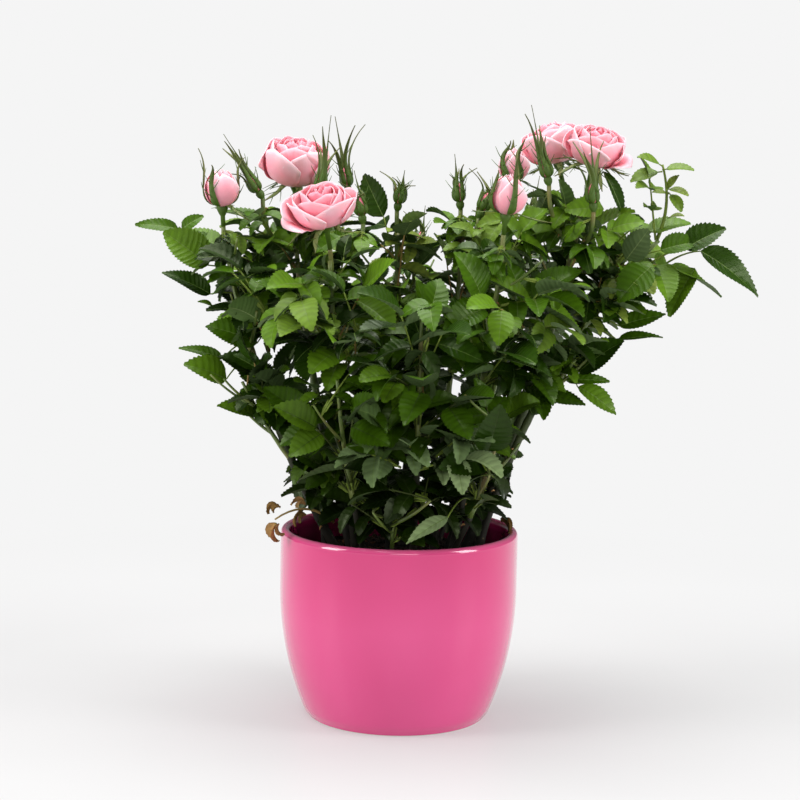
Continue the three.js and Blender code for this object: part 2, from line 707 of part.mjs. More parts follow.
// A flower on its stalk, all one turned body. The petals of an open one make five lobes in each
// ring, and a half open one is clasped by sepals.
function roseSolid({ size, form, at, faces }, random) {
  const petals = petalProfiles[form].map(([r, z]) => [r * size, rose.stalk + z * size]);
  const body = turned([...stalkProfile, ...petals], form === "open" ? 10 : 8);
  const sepals = [];
  if (form === "open") {
    reshape(body, (v) => {
      const distance = Math.hypot(v.x, v.y);
      const ring = v.z > rose.stalk + 0.8 * size ? -rose.lobe : rose.lobe;
      const lobe = distance > 0.6 * size ? ring * Math.sin(5 * Math.atan2(v.y, v.x)) : 0;
      return new THREE.Vector3(v.x * (1 + lobe), v.y * (1 + lobe), v.z);
    });
  } else {
    for (const turn of [0, 2, 4]) {
      const tip = rose.stalk + size * (2.6 + random());
      sepals.push(sepal(turn + random(), size * 1.05, rose.stalk + 0.5 * size, tip, size));
    }
  }
  const direction = point(faces).normalize();
  const place = along(point(at), direction, clearance);
  return fuse([body, ...sepals].map((shape) => solidFrom(stand(shape, place, direction))));
}

function caneSolid({ curve, enters, radiusAt }, extra = 0) {
  const radius = (share) => radiusAt(share) + extra;
  return solidFrom(limb(curve, 0, enters, radius, cane.sides, cane.steps, true));
}

// A mass: its stem, from just past its cane's tip, with its twigs, leaves and buds fused on.
function massSolid(mass) {
  const { curve, enters, radiusAt, parent } = mass;
  const from = enters + (parent ? 0 : clearance / curve.getLength());
  const pieces = [solidFrom(limb(curve, from, 1, radiusAt, stem.sides, stem.steps))];
  const twigRadius = (share) => twig.radius * (twig.swell - twig.thinning * share);
  for (const each of [...mass.twigs, ...mass.flowerTwigs]) {
    pieces.push(solidFrom(limb(each, 0, 1, twigRadius, twig.sides, twig.steps)));
  }
  mass.leaves.forEach((each) => pieces.push(leafSolid(each, mass.girth)));
  const random = randomSeries(100 * mass.number + 99);
  mass.buds.forEach(([at, tip]) => pieces.push(...greenBudSolids(point(at), point(tip), random)));
  return pieces;
}

// ---- The pot and its compost ----------------------------------------------------------------

// The outer wall's radius at a height: upright above the belly, and drawn in towards the foot.
function potRadiusAt(height) {
  const drop = Math.max(0, 1 - height / pot.bellyHeight);
  return pot.rimRadius - (pot.rimRadius - pot.baseRadius) * drop ** pot.draw;
}

function potSolid() {
  const { height, edge, lip, wall, floor, rimRadius, baseRadius } = pot;
  const shoulder = height - edge;
  const outerHeights = [edge, ...pot.outerRings, pot.bellyHeight, shoulder];
  const innerHeights = [shoulder, ...pot.innerRings];
  const profile = [
    [0, 0],
    [baseRadius - edge * 0.8, 0],
    ...outerHeights.map((z) => [potRadiusAt(z), z]),
    [rimRadius - edge / 2, height - lip],
    [rimRadius - wall / 2, height],
    [rimRadius - wall + edge / 2, height - lip],
    ...innerHeights.map((z) => [potRadiusAt(z) - wall, z]),
    [baseRadius - wall - pot.inset, floor],
    [0, floor],
  ];
  return solidFrom(turned(profile, pot.sides));
}

// The compost stops short of the pot's flat sides, which stand a little inside its round ones.
function soilSolid() {
  const bottom = pot.floor + clearance;
  const [middle, low] = pot.innerRings;
  const sides = [low, middle, soil.top].map((z) => [potRadiusAt(z) - pot.wall - soil.shrink, z]);
  const foot = [pot.baseRadius - pot.wall - soil.footInset, bottom];
  return solidFrom(turned([[0, bottom], foot, ...sides, [0, soil.top]], pot.sides));
}

// ---- The assembly ---------------------------------------------------------------------------

const bush = new THREE.Group();

function addPart(name, solid, color, roughness) {
  const material = new THREE.MeshStandardMaterial({ color, roughness, metalness: 0 });
  const mesh = new THREE.Mesh(geometryFrom(solid), material);
  mesh.name = name;
  bush.add(mesh);
}

addPart("pot", potSolid(), 0xd94f86, 0.15);
addPart("compost", soilSolid(), 0x2a1c14, 0.95);

const masses = growBush();
masses.forEach((mass, index) => {
  if (mass.enters > 0) addPart(`cane_${mass.name}`, caneSolid(mass), barkColour, 0.7);
  const solid = fuse(massSolid(mass));
  const clear = mass.parent ? fuse([solid.subtract(caneSolid(mass.parent, clearance))]) : solid;
  addPart(`foliage_${mass.name}`, clear, leafColours[index % leafColours.length], 0.5);
  for (const each of mass.roses) {
    addPart(each.name, roseSolid(each, randomSeries(100 * index + 98)), petalColour, 0.6);
  }
});

export default bush;
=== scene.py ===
"""A miniature rose bush in bloom in its glossy pink pot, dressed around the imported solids.

Every shape is worked out in millimetres, in the solids' own frame: +Z up, +X to the right and +Y
to the back, with the origin under the middle of the pot. add_piece turns millimetres into metres.
"""

import json
import math

import bpy
import numpy as np
from mathutils import Matrix

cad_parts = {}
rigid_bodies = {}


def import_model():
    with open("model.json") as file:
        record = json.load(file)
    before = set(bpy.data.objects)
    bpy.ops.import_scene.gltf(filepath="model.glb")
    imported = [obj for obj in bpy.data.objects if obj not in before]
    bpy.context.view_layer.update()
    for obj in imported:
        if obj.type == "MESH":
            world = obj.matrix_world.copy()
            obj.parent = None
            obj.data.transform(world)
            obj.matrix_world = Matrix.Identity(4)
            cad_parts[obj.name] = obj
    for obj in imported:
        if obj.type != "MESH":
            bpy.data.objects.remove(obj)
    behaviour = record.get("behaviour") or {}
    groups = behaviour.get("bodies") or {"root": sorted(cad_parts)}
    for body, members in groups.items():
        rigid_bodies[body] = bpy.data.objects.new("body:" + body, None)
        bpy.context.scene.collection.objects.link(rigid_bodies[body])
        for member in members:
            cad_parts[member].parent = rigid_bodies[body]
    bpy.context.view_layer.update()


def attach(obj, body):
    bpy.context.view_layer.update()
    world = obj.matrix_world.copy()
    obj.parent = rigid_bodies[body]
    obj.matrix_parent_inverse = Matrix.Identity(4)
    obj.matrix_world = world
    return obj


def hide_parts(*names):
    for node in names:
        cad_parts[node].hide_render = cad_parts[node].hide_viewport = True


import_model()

# ---- Driving dimensions, as in the part's source ----------------------------------------------

CLEARANCE = 0.3
POT = {"height": 112, "rim": 70, "belly": 78, "base": 53.5, "wall": 5.5, "floor": 7, "draw": 2.1}
SOIL_TOP = 95
CANE = {"flare": 0.45, "flare_length": 0.1}
STEM_TAPER = 0.55
TWIG = {
    "radius": 1.1, "from": 0.35, "flower_from": 0.8, "length": 26, "length_spread": 14,
    "rise": 0.55, "rise_spread": 0.5, "homing": 0.12, "sag": 0.1, "tries": 16,
    "clear_from": 0.2,
}
LEAF = {
    "petiole": 0.95, "near_own": 0.15, "fill_from": 0.3, "arch": 0.1,
    "pair_angle": math.radians(62), "pair_sag": 0.22, "outward": 0.7, "forward": 0.4,
    "pairs": (0.82, 0.46), "pair_sizes": (0.84, 0.66), "end_length": 22, "end_spread": 9,
    "end_share": 0.5, "reach": 2.25, "stretches": (1, 0.85, 1.15, 0.7), "roll": 1.1,
    "furthest_roll": 0.6, "inner": 0.4, "outer": 0.98, "origin_from": 0.05,
    "twig_origin_from": 0.3, "origin_spacing": 4, "hang": 12, "hang_cost": 0.6, "tries": 90,
}
LEAFLET = {"width": 0.68, "widest": 0.42, "spacing": 3}
GAP = 4.6
SOIL_GAP = 3
RIM_GAP = 2
ROSE = {"stalk": 12, "hip_radius": 3.4}
ROOM = {"bud": 9, "bud_share": 0.2, "rose": 1.1, "rose_margin": 3, "rose_height": 0.8}

# What the finer growth adds: more side twigs, and smaller leaves closer together.
FINE_GAP = 0.9
FINE_BUD_MARGIN = 3
FINE_TWIG = {"count": 3, "tries": 18, "from": 0.1, "spread": 0.85, "radius": 0.8}
FINE_LEAF = {**LEAF, "end_length": 20, "end_spread": 10, "inner": 0.1, "outer": 0.97, "tries": 60}
SMALL_LEAF = {**FINE_LEAF, "end_length": 16, "end_spread": 9, "inner": 0.3, "tries": 40}
UPPER_LEAF = {**SMALL_LEAF, "end_length": 17, "inner": 0.2, "reach": 1.9}
# The leaves up the stalks of the flowers and the buds.
UPPER = {"leaves": 5, "at": 0.72, "radii": (29, 29, 24), "from": 0.12, "to": 0.9}
# A shoot whose middle is below LOW_HEIGHT has LOW_LEAVES small leaves more, and any other has one
# for each SMALL_SHARE of its own leaves.
LOW_HEIGHT = 170
LOW_LEAVES = 7
SMALL_SHARE = 4
MOST_LEAFLETS = 5

# Where each use of random numbers starts. Those up to the flowers are counted on from a hundred
# times the number of the shoot.
SEEDS = {
    "twigs": 0, "furthest_leaves": 50, "leaves": 51, "fine_twigs": 7000, "fine_leaves": 9000,
    "small_leaves": 13000, "upper_leaves": 17000, "leaf_shapes": 20000, "canes": 30000,
    "stems": 31000, "flowers": 40000, "front_details": 60000, "sprig": 61000,
    "standing_right": 62000, "standing_left": 63000, "ground": 501, "lumps": 777,
}

FULL_TURN = 2 * math.pi

UP = np.array([0.0, 0.0, 1.0])
FRONT = np.array([0.0, -1.0, 0.0])


def shoot(
    name, foot, top, lean, rise, enters, girth, leaves, space, reach, buds=(), roses=(), **on
):
    """A shoot from the foot of its cane to its top, by way of a bend that leans and rises.

    enters is the share of its length that is bare. space has the middle and the radii of the room
    that its leaves fill, and reach the tips of its furthest leaves, each with a leaflet's length.
    """
    return {
        "name": name, "foot": foot, "top": top, "lean": lean, "rise": rise, "enters": enters,
        "girth": girth, "leaf_count": leaves, "space": space, "reach": reach, "buds": buds,
        "roses": roses, **on,
    }


def flower(name, size, form, at, faces):
    """A bloom or a pink bud at the end of a stalk, with the direction that it faces."""
    return {"name": name, "size": size, "form": form, "at": at, "faces": faces}


SHOOTS = [
    shoot(
        "left_outer", (-34, -8), (-104, -20, 286), 0.72, 0.45, 0.5, 2.3, 6,
        ((-104, -18, 256), (38, 46, 42)),
        ((-150, 0, 290, 30), (-134, -22, 274, 24), (-124, 0, 252, 24)),
        roses=(flower("bud_left", 9, "bud", (-104, -20, 289), (-0.05, -0.1, 1)),),
    ),
    shoot(
        "left_low", None, (-92, -24, 200), 0.5, 0.4, 0, 1.5, 8,
        ((-86, -24, 204), (36, 38, 34)), ((-124, -14, 218, 28), (-106, -32, 192, 24)),
        parent="left_outer", at=0.32,
    ),
    shoot(
        "left_back", (-28, 10), (-66, 26, 290), 0.75, 0.5, 0.55, 2.2, 5,
        ((-70, 38, 262), (48, 44, 42)), ((-96, 30, 302, 24), (-28, 30, 304, 26)),
        buds=(
            ((-82, -14, 305), (-105, -14, 341)), ((-50, -10, 303), (-44, -8, 353)),
            ((-34, 42, 306), (-43, 42, 352)),
        ),
        roses=(flower("rose_left_high", 20.5, "open", (-66, 26, 298), (-0.1, -0.3, 1)),),
    ),
    shoot(
        "left_front", (-24, -16), (-42, -46, 272), 0.7, 0.5, 0.5, 2.1, 6,
        ((-46, -58, 242), (46, 42, 42)), ((-72, -58, 266, 28), (-12, -60, 276, 28)),
        buds=(((-24, -20, 292), (-30, -20, 322)),),
        roses=(flower("rose_left_low", 20, "open", (-42, -46, 279), (-0.12, -0.5, 1)),),
    ),
    shoot(
        "middle", (-6, 6), (-4, 10, 286), 0.5, 0.5, 0.45, 1.9, 5,
        ((-6, 12, 250), (44, 42, 50)), ((-20, 20, 316, 26), (2, -16, 304, 24), (14, 12, 282, 22)),
        buds=(((-5, 12, 298), (-1, 8, 322)),),
    ),
    shoot(
        "right_inner", (20, -2), (34, 0, 288), 0.5, 0.5, 0.5, 1.9, 5,
        ((38, 6, 254), (38, 42, 44)), ((48, 12, 308, 26), (22, -18, 286, 24)),
        buds=(((32, 2, 300), (28, 2, 332)), ((42, -14, 296), (52, -16, 322))),
    ),
    shoot(
        "right_front", (30, -18), (55, -50, 282), 0.6, 0.5, 0.48, 2.1, 7,
        ((66, -58, 246), (48, 42, 46)), ((92, -68, 278, 32), (40, -72, 276, 30)),
        roses=(
            flower("bud_right_low", 9.5, "bud", (55, -50, 289), (0.08, -0.1, 1)),
            flower("bud_right_high", 8, "bud", (61, -16, 306), (0, 0, 1)),
        ),
    ),
    shoot(
        "right_back", (38, 8), (102, -2, 300), 0.7, 0.5, 0.5, 2.6, 5,
        ((98, 20, 262), (44, 46, 46)), ((120, -14, 308, 24), (74, 18, 302, 26), (132, -6, 290, 28)),
        buds=(((81, -28, 316), (70, -29, 361)), ((106, -36, 302), (102, -38, 350))),
        roses=(
            flower("rose_right_front", 20, "open", (104, -4, 310), (0.35, -0.35, 1)),
            flower("rose_right_back", 18, "open", (94, 24, 310), (-0.25, 0.1, 1)),
        ),
    ),
    shoot(
        "right_outer", (44, -13), (148, 6, 284), 0.3, 0.63, 0.5, 2.2, 6,
        ((136, 4, 258), (46, 48, 38)),
        (
            (144, 9, 333, 16), (207, -12, 264, 34), (186, 14, 300, 28), (164, -26, 250, 25),
            (156, 24, 242, 24),
        ),
    ),
    shoot(
        "right_low", None, (100, -18, 216), 0.5, 0.5, 0, 1.53, 7,
        ((100, -16, 216), (36, 40, 34)), ((126, -20, 193, 25), (134, -14, 226, 24)),
        parent="right_outer", at=0.42,
    ),
    shoot(
        "front_left", (-18, -30), (-36, -72, 208), 0.75, 0.5, 0.35, 1.7, 8,
        ((-32, -62, 186), (40, 36, 46)), ((-72, -56, 200, 26),),
    ),
    shoot(
        "front_middle", (8, -30), (10, -72, 244), 0.75, 0.5, 0.4, 1.8, 9,
        ((8, -66, 216), (48, 40, 58)), ((-10, -84, 266, 27), (30, -88, 254, 26)),
    ),
    shoot(
        "front_right", (26, -32), (56, -64, 188), 0.75, 0.5, 0.35, 1.7, 5,
        ((44, -58, 176), (37, 36, 42)), ((84, -44, 202, 26),),
    ),
    shoot(
        "low_front", (-4, -48), (-4, -56, 146), 0.6, 0.6, 0.25, 1.3, 6,
        ((2, -44, 140), (56, 32, 32)), ((10, -76, 122, 24), (-40, -62, 146, 24)),
    ),
    shoot(
        "low_left", (-44, 0), (-48, 0, 152), 0.5, 0.5, 0.25, 1.4, 6,
        ((-36, 2, 150), (38, 40, 40)), ((-72, -14, 158, 22),),
    ),
    shoot(
        "low_right", (48, 14), (46, 12, 152), 0.5, 0.5, 0.25, 1.35, 5,
        ((34, 8, 150), (38, 42, 42)), ((70, 14, 180, 24),),
    ),
    shoot(
        "back_left", (-24, 24), (-58, 72, 268), 0.7, 0.5, 0.42, 2.1, 5,
        ((-60, 74, 236), (50, 40, 54)), ((-104, 66, 256, 28), (-60, 114, 250, 28)),
    ),
    shoot(
        "back_middle", (2, 28), (6, 82, 258), 0.7, 0.5, 0.42, 2, 6,
        ((4, 80, 224), (44, 40, 52)), ((6, 122, 240, 28),),
        buds=(((8, 86, 266), (12, 90, 298)),),
    ),
    shoot(
        "back_right", (30, 26), (72, 72, 272), 0.7, 0.5, 0.42, 2.1, 4,
        ((74, 72, 240), (50, 40, 54)), ((120, 66, 260, 28), (78, 112, 248, 28)),
        buds=(((76, 76, 282), (82, 80, 318)),),
    ),
    shoot(
        "low_back_left", (-30, 38), (-48, 52, 168), 0.6, 0.5, 0.3, 1.4, 4,
        ((-46, 52, 162), (42, 36, 42)), ((-84, 44, 186, 24),),
    ),
    shoot(
        "low_back_right", (24, 44), (46, 60, 168), 0.6, 0.5, 0.3, 1.4, 5,
        ((42, 58, 162), (42, 36, 42)), ((82, 52, 188, 24),),
    ),
]

# ---- Small tools ------------------------------------------------------------------------------


def vec(xyz):
    return np.array(xyz, float)


def unit(v):
    return v / math.sqrt(v @ v)


def distance(a, b):
    return math.sqrt((b - a) @ (b - a))


def cross(a, b):
    return np.array(
        [a[1] * b[2] - a[2] * b[1], a[2] * b[0] - a[0] * b[2], a[0] * b[1] - a[1] * b[0]]
    )


def random_series(seed):
    """Repeatable numbers from 0 to 1, one series for each seed."""
    state = seed * 7919 + 104729

    def draw():
        nonlocal state
        state = state * 16807 % 2147483647
        return state / 2147483647

    draw()
    draw()
    return draw


def seed_of(mass, use, number=0):
    return 100 * mass["number"] + SEEDS[use] + number


def angles_around(count):
    return FULL_TURN * np.arange(count) / count


# The share of a curve over which its direction is measured, on each side of a place.
SHORT_STEP = 0.0001


class Curve:
    """A quadratic Bezier curve."""

    def __init__(self, start, bend, end):
        self.start, self.bend, self.end = start, bend, end
        steps = self.points(np.linspace(0, 1, 201))
        self.length = float(np.sqrt((np.diff(steps, axis=0) ** 2).sum(axis=1)).sum())

    def point(self, t):
        return (1 - t) ** 2 * self.start + 2 * (1 - t) * t * self.bend + t * t * self.end

    def points(self, t):
        t = np.asarray(t, float)[:, None]
        return (1 - t) ** 2 * self.start + 2 * (1 - t) * t * self.bend + t * t * self.end

    def tangent(self, t):
        low, high = max(0.0, t - SHORT_STEP), min(1.0, t + SHORT_STEP)
        return unit(self.point(high) - self.point(low))


def points_along(curve, start, end, spacing=3):
    """Evenly spaced points between two shares of a curve."""
    count = max(2, math.ceil(curve.length * (end - start) / spacing))
    return curve.points(start + (end - start) * np.arange(count + 1) / count)


# ---- The room that is taken -------------------------------------------------------------------

CUBE = 1.5
EMPTY, SHARED = -2, -1
# How many cubes there are along X, Y and Z, and which one has the origin in its middle.
CUBES = (321, 261, 290)
MIDDLE = np.array([160, 130, 0])
balls = {}


def ball(reach):
    """The offsets of the cubes within a reach of a cube's middle."""
    if reach not in balls:
        limit = math.floor(reach)
        steps = np.arange(-limit, limit + 1)
        grid = np.stack(np.meshgrid(steps, steps, steps, indexing="ij"), -1).reshape(-1, 3)
        balls[reach] = grid[(grid**2).sum(axis=1) <= reach * reach]
    return balls[reach]


class Room:
    """Small cubes of space, each with the number of the shoot that fills it."""

    def __init__(self, gap):
        self.gap = gap
        self.cells = np.full(CUBES, EMPTY, np.int8)

    def cubes(self, points):
        return np.floor(np.atleast_2d(points) / CUBE + 0.5).astype(int) + MIDDLE

    def fill_around(self, points, radius, owner):
        spots = (self.cubes(points)[:, None, :] + ball(radius / CUBE)[None]).reshape(-1, 3)
        spots = tuple(np.clip(spots, 0, np.array(CUBES) - 1).T)
        before = self.cells[spots]
        self.cells[spots] = np.where((before == EMPTY) | (before == owner), owner, SHARED)

    def fill(self, points, radius, owner):
        self.fill_around(points, radius + self.gap, owner)

    def owners(self, points):
        return self.cells[tuple(self.cubes(points).T)]

    def is_free(self, points):
        return (self.owners(points) == EMPTY) & is_clear_of_pot(points)

    def is_clear_of_others(self, points, owner):
        owners = self.owners(points)
        return ((owners == EMPTY) | (owners == owner)) & is_clear_of_pot(points)


def is_clear_of_pot(points):
    """Which points are above the compost and not near the pot's wall."""
    from_axis = np.hypot(points[:, 0], points[:, 1])
    inner = POT["rim"] - POT["wall"] - RIM_GAP
    at_wall = (from_axis > inner) & (from_axis < POT["rim"] + RIM_GAP)
    low = points[:, 2] < POT["height"] + RIM_GAP
    return (points[:, 2] > SOIL_TOP + SOIL_GAP) & ~(at_wall & low)


def in_space(points, space):
    """Which points are in an ellipsoid."""
    centre, radii = space
    return (((points - vec(centre)) / vec(radii)) ** 2).sum(axis=1) < 1


room = Room(GAP)
fine_room = Room(FINE_GAP)


def fill_both(points, radius, owner):
    room.fill(points, radius, owner)
    fine_room.fill(points, radius, owner)


# ---- Leaves -----------------------------------------------------------------------------------


def light_at(p):
    """The direction that a leaf at a place faces."""
    outward = unit(np.array([p[0], p[1], 0.0]))
    return unit(UP + LEAF["outward"] * outward + LEAF["forward"] * FRONT)


def make_leaflet(root, direction, length, roll, light):
    """A leaflet's frame, with its face to the light and then rolled about its direction."""
    across = unit(cross(light, direction))
    face = cross(direction, across)
    side = math.cos(roll) * across + math.sin(roll) * face
    return {
        "root": root, "direction": direction, "length": length, "side": side,
        "normal": cross(direction, side),
    }


def leaflet_points(leaflet):
    """Points all over a leaflet, to test and to fill its room."""
    length, widest = leaflet["length"], LEAFLET["widest"]
    rows = math.ceil(length / LEAFLET["spacing"])
    spots = []
    for row in range(1, rows + 1):
        share = row / rows
        rise = share / widest if share < widest else (1 - share) / (1 - widest)
        half = length * LEAFLET["width"] * rise / 2
        columns = math.ceil(2 * half / LEAFLET["spacing"])
        for column in range(columns + 1):
            spots.append((length * share, half * (2 * column / columns - 1) if columns else 0))
    spots = np.array(spots)
    return leaflet["root"] + spots[:, :1] * leaflet["direction"] + spots[:, 1:] * leaflet["side"]


def make_leaf(origin, tip, end_length, roll):
    """A pinnate leaf from a twig to its tip."""
    light = light_at(tip)
    reach = distance(origin, tip)
    length = min(end_length, reach * LEAF["end_share"])
    arch = origin + (tip - origin) * 0.5 + LEAF["arch"] * reach * UP
    curve = Curve(origin, arch, tip)
    stalk_end = 1 - length / reach
    root = curve.point(stalk_end)
    end = tip - root
    size = math.sqrt(end @ end)
    leaflets = [make_leaflet(root, end / size, size, roll, light)]
    for pair_share, pair_size in zip(LEAF["pairs"], LEAF["pair_sizes"]):
        share = pair_share * stalk_end
        tangent = curve.tangent(share)
        left = unit(cross(light, tangent))
        start = curve.point(share)
        for hand in (1, -1):
            direction = unit(
                math.cos(LEAF["pair_angle"]) * tangent
                + hand * math.sin(LEAF["pair_angle"]) * left
                - LEAF["pair_sag"] * UP
            )
            leaflets.append(make_leaflet(start, direction, length * pair_size, roll, light))
    return {"curve": curve, "stalk_end": stalk_end, "light": light, "leaflets": leaflets}


def fit_leaf(made, owner, space, spaces):
    """Keeps the leaflets that are free and in the space, or None where the end one isn't."""
    stalk = points_along(made["curve"], LEAF["near_own"], made["stalk_end"])
    if not spaces.is_clear_of_others(stalk, owner).all():
        return None
    kept = []
    for leaflet in made["leaflets"]:
        points = leaflet_points(leaflet)
        if space:
            fits = in_space(points, space).all() and spaces.is_free(points).all()
        else:
            fits = spaces.is_clear_of_others(points, owner).all()
        if fits:
            kept.append(leaflet)
        elif not kept:
            return None
    return {**made, "leaflets": kept}


def add_leaf(mass, fitted):
    """Gives a mass a leaf and takes its room."""
    mass["leaves"].append(fitted)
    stalk = points_along(fitted["curve"], LEAF["fill_from"], fitted["stalk_end"])
    fill_both(stalk, LEAF["petiole"], SHARED)
    for leaflet in fitted["leaflets"]:
        fill_both(leaflet_points(leaflet), 0, SHARED)


# ---- Growth -----------------------------------------------------------------------------------


def shoot_radius(mass):
    """The radius of a cane, and of the stem that goes on from it, at a share of its curve."""
    girth, enters = mass["girth"], mass["enters"]

    def radius(share):
        flare = 1 + CANE["flare"] * math.exp(-share / CANE["flare_length"])
        taper = 1 - (1 - STEM_TAPER) * max(0, (share - enters) / (1 - enters))
        return girth * taper * (flare if enters > 0 else 1)

    return radius


def make_flower_twig(mass, at, faces):
    """The stalk of a flower or a bud, from near the top of its stem."""
    end = vec(at)
    start = mass["curve"].point(mass["enters"] + TWIG["flower_from"] * (1 - mass["enters"]))
    return Curve(start, end - 0.5 * distance(start, end) * unit(vec(faces)), end)


def make_side_twig(mass, share, random, spaces):
    """A side twig from a share of the stem, or None where it has no room."""
    turn = FULL_TURN * random()
    start = mass["curve"].point(mass["enters"] + share * (1 - mass["enters"]))
    reach = TWIG["length"] + TWIG["length_spread"] * random()
    rise = TWIG["rise"] + TWIG["rise_spread"] * random()
    out = unit(np.array([math.cos(turn), math.sin(turn), rise]))
    end = start + reach * out
    end = end + TWIG["homing"] * (vec(mass["space"][0]) - end)
    curve = Curve(start, start + 0.5 * (end - start) - TWIG["sag"] * reach * UP, end)
    points = points_along(curve, TWIG["clear_from"], 1)
    if not spaces.is_clear_of_others(points, mass["number"]).all():
        return None
    return curve if in_space(points, mass["space"]).all() else None


def start_mass(given, number, others):
    """A mass of foliage on its shoot, which starts in the compost or on another shoot."""
    parent = next((each for each in others if each["name"] == given.get("parent")), None)
    if parent:
        foot = parent["curve"].point(given["at"])
    else:
        foot = vec([*given["foot"], SOIL_TOP + CLEARANCE])
    top = vec(given["top"])
    bend = foot + (top - foot) * given["lean"]
    bend[2] = foot[2] + (top[2] - foot[2]) * given["rise"]
    mass = {**given, "number": number, "curve": Curve(foot, bend, top)}
    mass["radius_at"] = shoot_radius(mass)
    if not parent:
        fill_both(points_along(mass["curve"], 0, mass["enters"]), mass["girth"], SHARED)
    fill_both(points_along(mass["curve"], mass["enters"], 1), mass["girth"], number)
    return {**mass, "leaves": [], "twigs": [], "fine_twigs": []}


def grow_twigs(mass):
    """The stalks of a shoot's flowers and buds, the room that those take, and one side twig."""
    number = mass["number"]
    random = random_series(seed_of(mass, "twigs"))
    bud_twigs = [make_flower_twig(mass, at, (0, 0, 1)) for at, _ in mass["buds"]]
    rose_twigs = [make_flower_twig(mass, each["at"], each["faces"]) for each in mass["roses"]]
    mass["flower_twigs"] = bud_twigs + rose_twigs
    for curve in mass["flower_twigs"]:
        fill_both(points_along(curve, 0, 1), TWIG["radius"], number)
    for at, tip in mass["buds"]:
        middle = vec(at) + (vec(tip) - vec(at)) * ROOM["bud_share"]
        room.fill_around(middle, ROOM["bud"], SHARED)
        fine_room.fill_around(middle, ROOM["bud"] - FINE_BUD_MARGIN, SHARED)
    for each in mass["roses"]:
        out = ROSE["stalk"] + each["size"] * ROOM["rose_height"]
        middle = vec(each["at"]) + out * unit(vec(each["faces"]))
        size = each["size"] * ROOM["rose"] + ROOM["rose_margin"]
        room.fill_around(middle, size, SHARED)
        fine_room.fill_around(middle, size, SHARED)
    for _ in range(TWIG["tries"]):
        curve = make_side_twig(mass, TWIG["from"], random, room)
        if curve:
            mass["twigs"].append(curve)
            fill_both(points_along(curve, 0, 1), TWIG["radius"], number)
            break


def set_starts(mass):
    """Where leaves may start on a mass's limbs."""
    limbs = [mass["curve"], *mass["twigs"], *mass["fine_twigs"]]
    shares = [mass["enters"] + LEAF["origin_from"]]
    shares += [LEAF["twig_origin_from"]] * (len(limbs) - 1)
    mass["starts"] = np.concatenate(
        [points_along(c, s, 1, LEAF["origin_spacing"]) for c, s in zip(limbs, shares)]
    )


def leaf_origin(starts, tip, length):
    """The start that is about a leaf's length from its tip, and not far above it."""
    away = np.sqrt(((starts - tip) ** 2).sum(axis=1))
    hang = np.maximum(0, starts[:, 2] - tip[2] - LEAF["hang"])
    return starts[np.argmin(np.abs(away - length) + LEAF["hang_cost"] * hang)]


def grow_reach(mass):
    """The furthest leaves, which give the crown its outline."""
    random = random_series(seed_of(mass, "furthest_leaves"))
    for *xyz, length in mass["reach"]:
        tip = vec(xyz)
        roll = LEAF["furthest_roll"] * (random() - 0.5)
        for stretch in LEAF["stretches"]:
            origin = leaf_origin(mass["starts"], tip, LEAF["reach"] * length * stretch)
            fitted = fit_leaf(make_leaf(origin, tip, length, roll), mass["number"], None, room)
            if fitted:
                add_leaf(mass, fitted)
                break


def grow_leaf(mass, seed, rule, spaces, least, space=None, starts=None):
    """One more leaf: of several that its series proposes, the one with the most leaflets.

    Only a leaf with more than the least number of leaflets is good enough.
    """
    random = random_series(seed)
    space = space or mass["space"]
    starts = mass["starts"] if starts is None else starts
    centre, radii = space
    best = None
    for _ in range(rule["tries"]):
        turn = FULL_TURN * random()
        height = 2 * random() - 1
        outward = rule["inner"] + (rule["outer"] - rule["inner"]) * math.sqrt(random())
        length = rule["end_length"] + rule["end_spread"] * random()
        roll = rule["roll"] * (random() - 0.5)
        level = math.sqrt(1 - height * height)
        tip = np.array([
            centre[0] + radii[0] * outward * level * math.cos(turn),
            centre[1] + radii[1] * outward * level * math.sin(turn),
            centre[2] + radii[2] * outward * height,
        ])
        origin = leaf_origin(starts, tip, rule["reach"] * length)
        made = make_leaf(origin, tip, length, roll)
        fitted = fit_leaf(made, mass["number"], space, spaces)
        if fitted and len(fitted["leaflets"]) > (len(best["leaflets"]) if best else least):
            best = fitted
        if best and len(best["leaflets"]) == MOST_LEAFLETS:
            break
    if best:
        add_leaf(mass, best)


def grow_fine_twigs(mass):
    """The side twigs that the finer growth adds."""
    random = random_series(seed_of(mass, "fine_twigs"))
    for _ in range(FINE_TWIG["tries"]):
        share = FINE_TWIG["from"] + FINE_TWIG["spread"] * random()
        curve = make_side_twig(mass, share, random, fine_room)
        if curve:
            mass["fine_twigs"].append(curve)
            fine_room.fill(points_along(curve, 0, 1), FINE_TWIG["radius"], mass["number"])
        if len(mass["fine_twigs"]) == FINE_TWIG["count"]:
            break


def grow_upper_leaves(mass):
    """Small leaves up the stalks of the flowers and the buds."""
    for twig_number, twig in enumerate(mass["flower_twigs"]):
        space = (tuple(twig.point(UPPER["at"])), UPPER["radii"])
        starts = points_along(twig, UPPER["from"], UPPER["to"], LEAF["origin_spacing"])
        for number in range(UPPER["leaves"]):
            seed = seed_of(mass, "upper_leaves", 10 * twig_number + number)
            grow_leaf(mass, seed, UPPER_LEAF, fine_room, 0, space, starts)


def grow_in_turns(masses, use, rule, spaces, least):
    """Leaves by one rule, one for each mass after the other, so that none takes all the room."""
    for number in range(max(mass["leaf_count"] for mass in masses)):
        for mass in masses:
            if number < mass["leaf_count"]:
                grow_leaf(mass, seed_of(mass, use, number), rule, spaces, least)


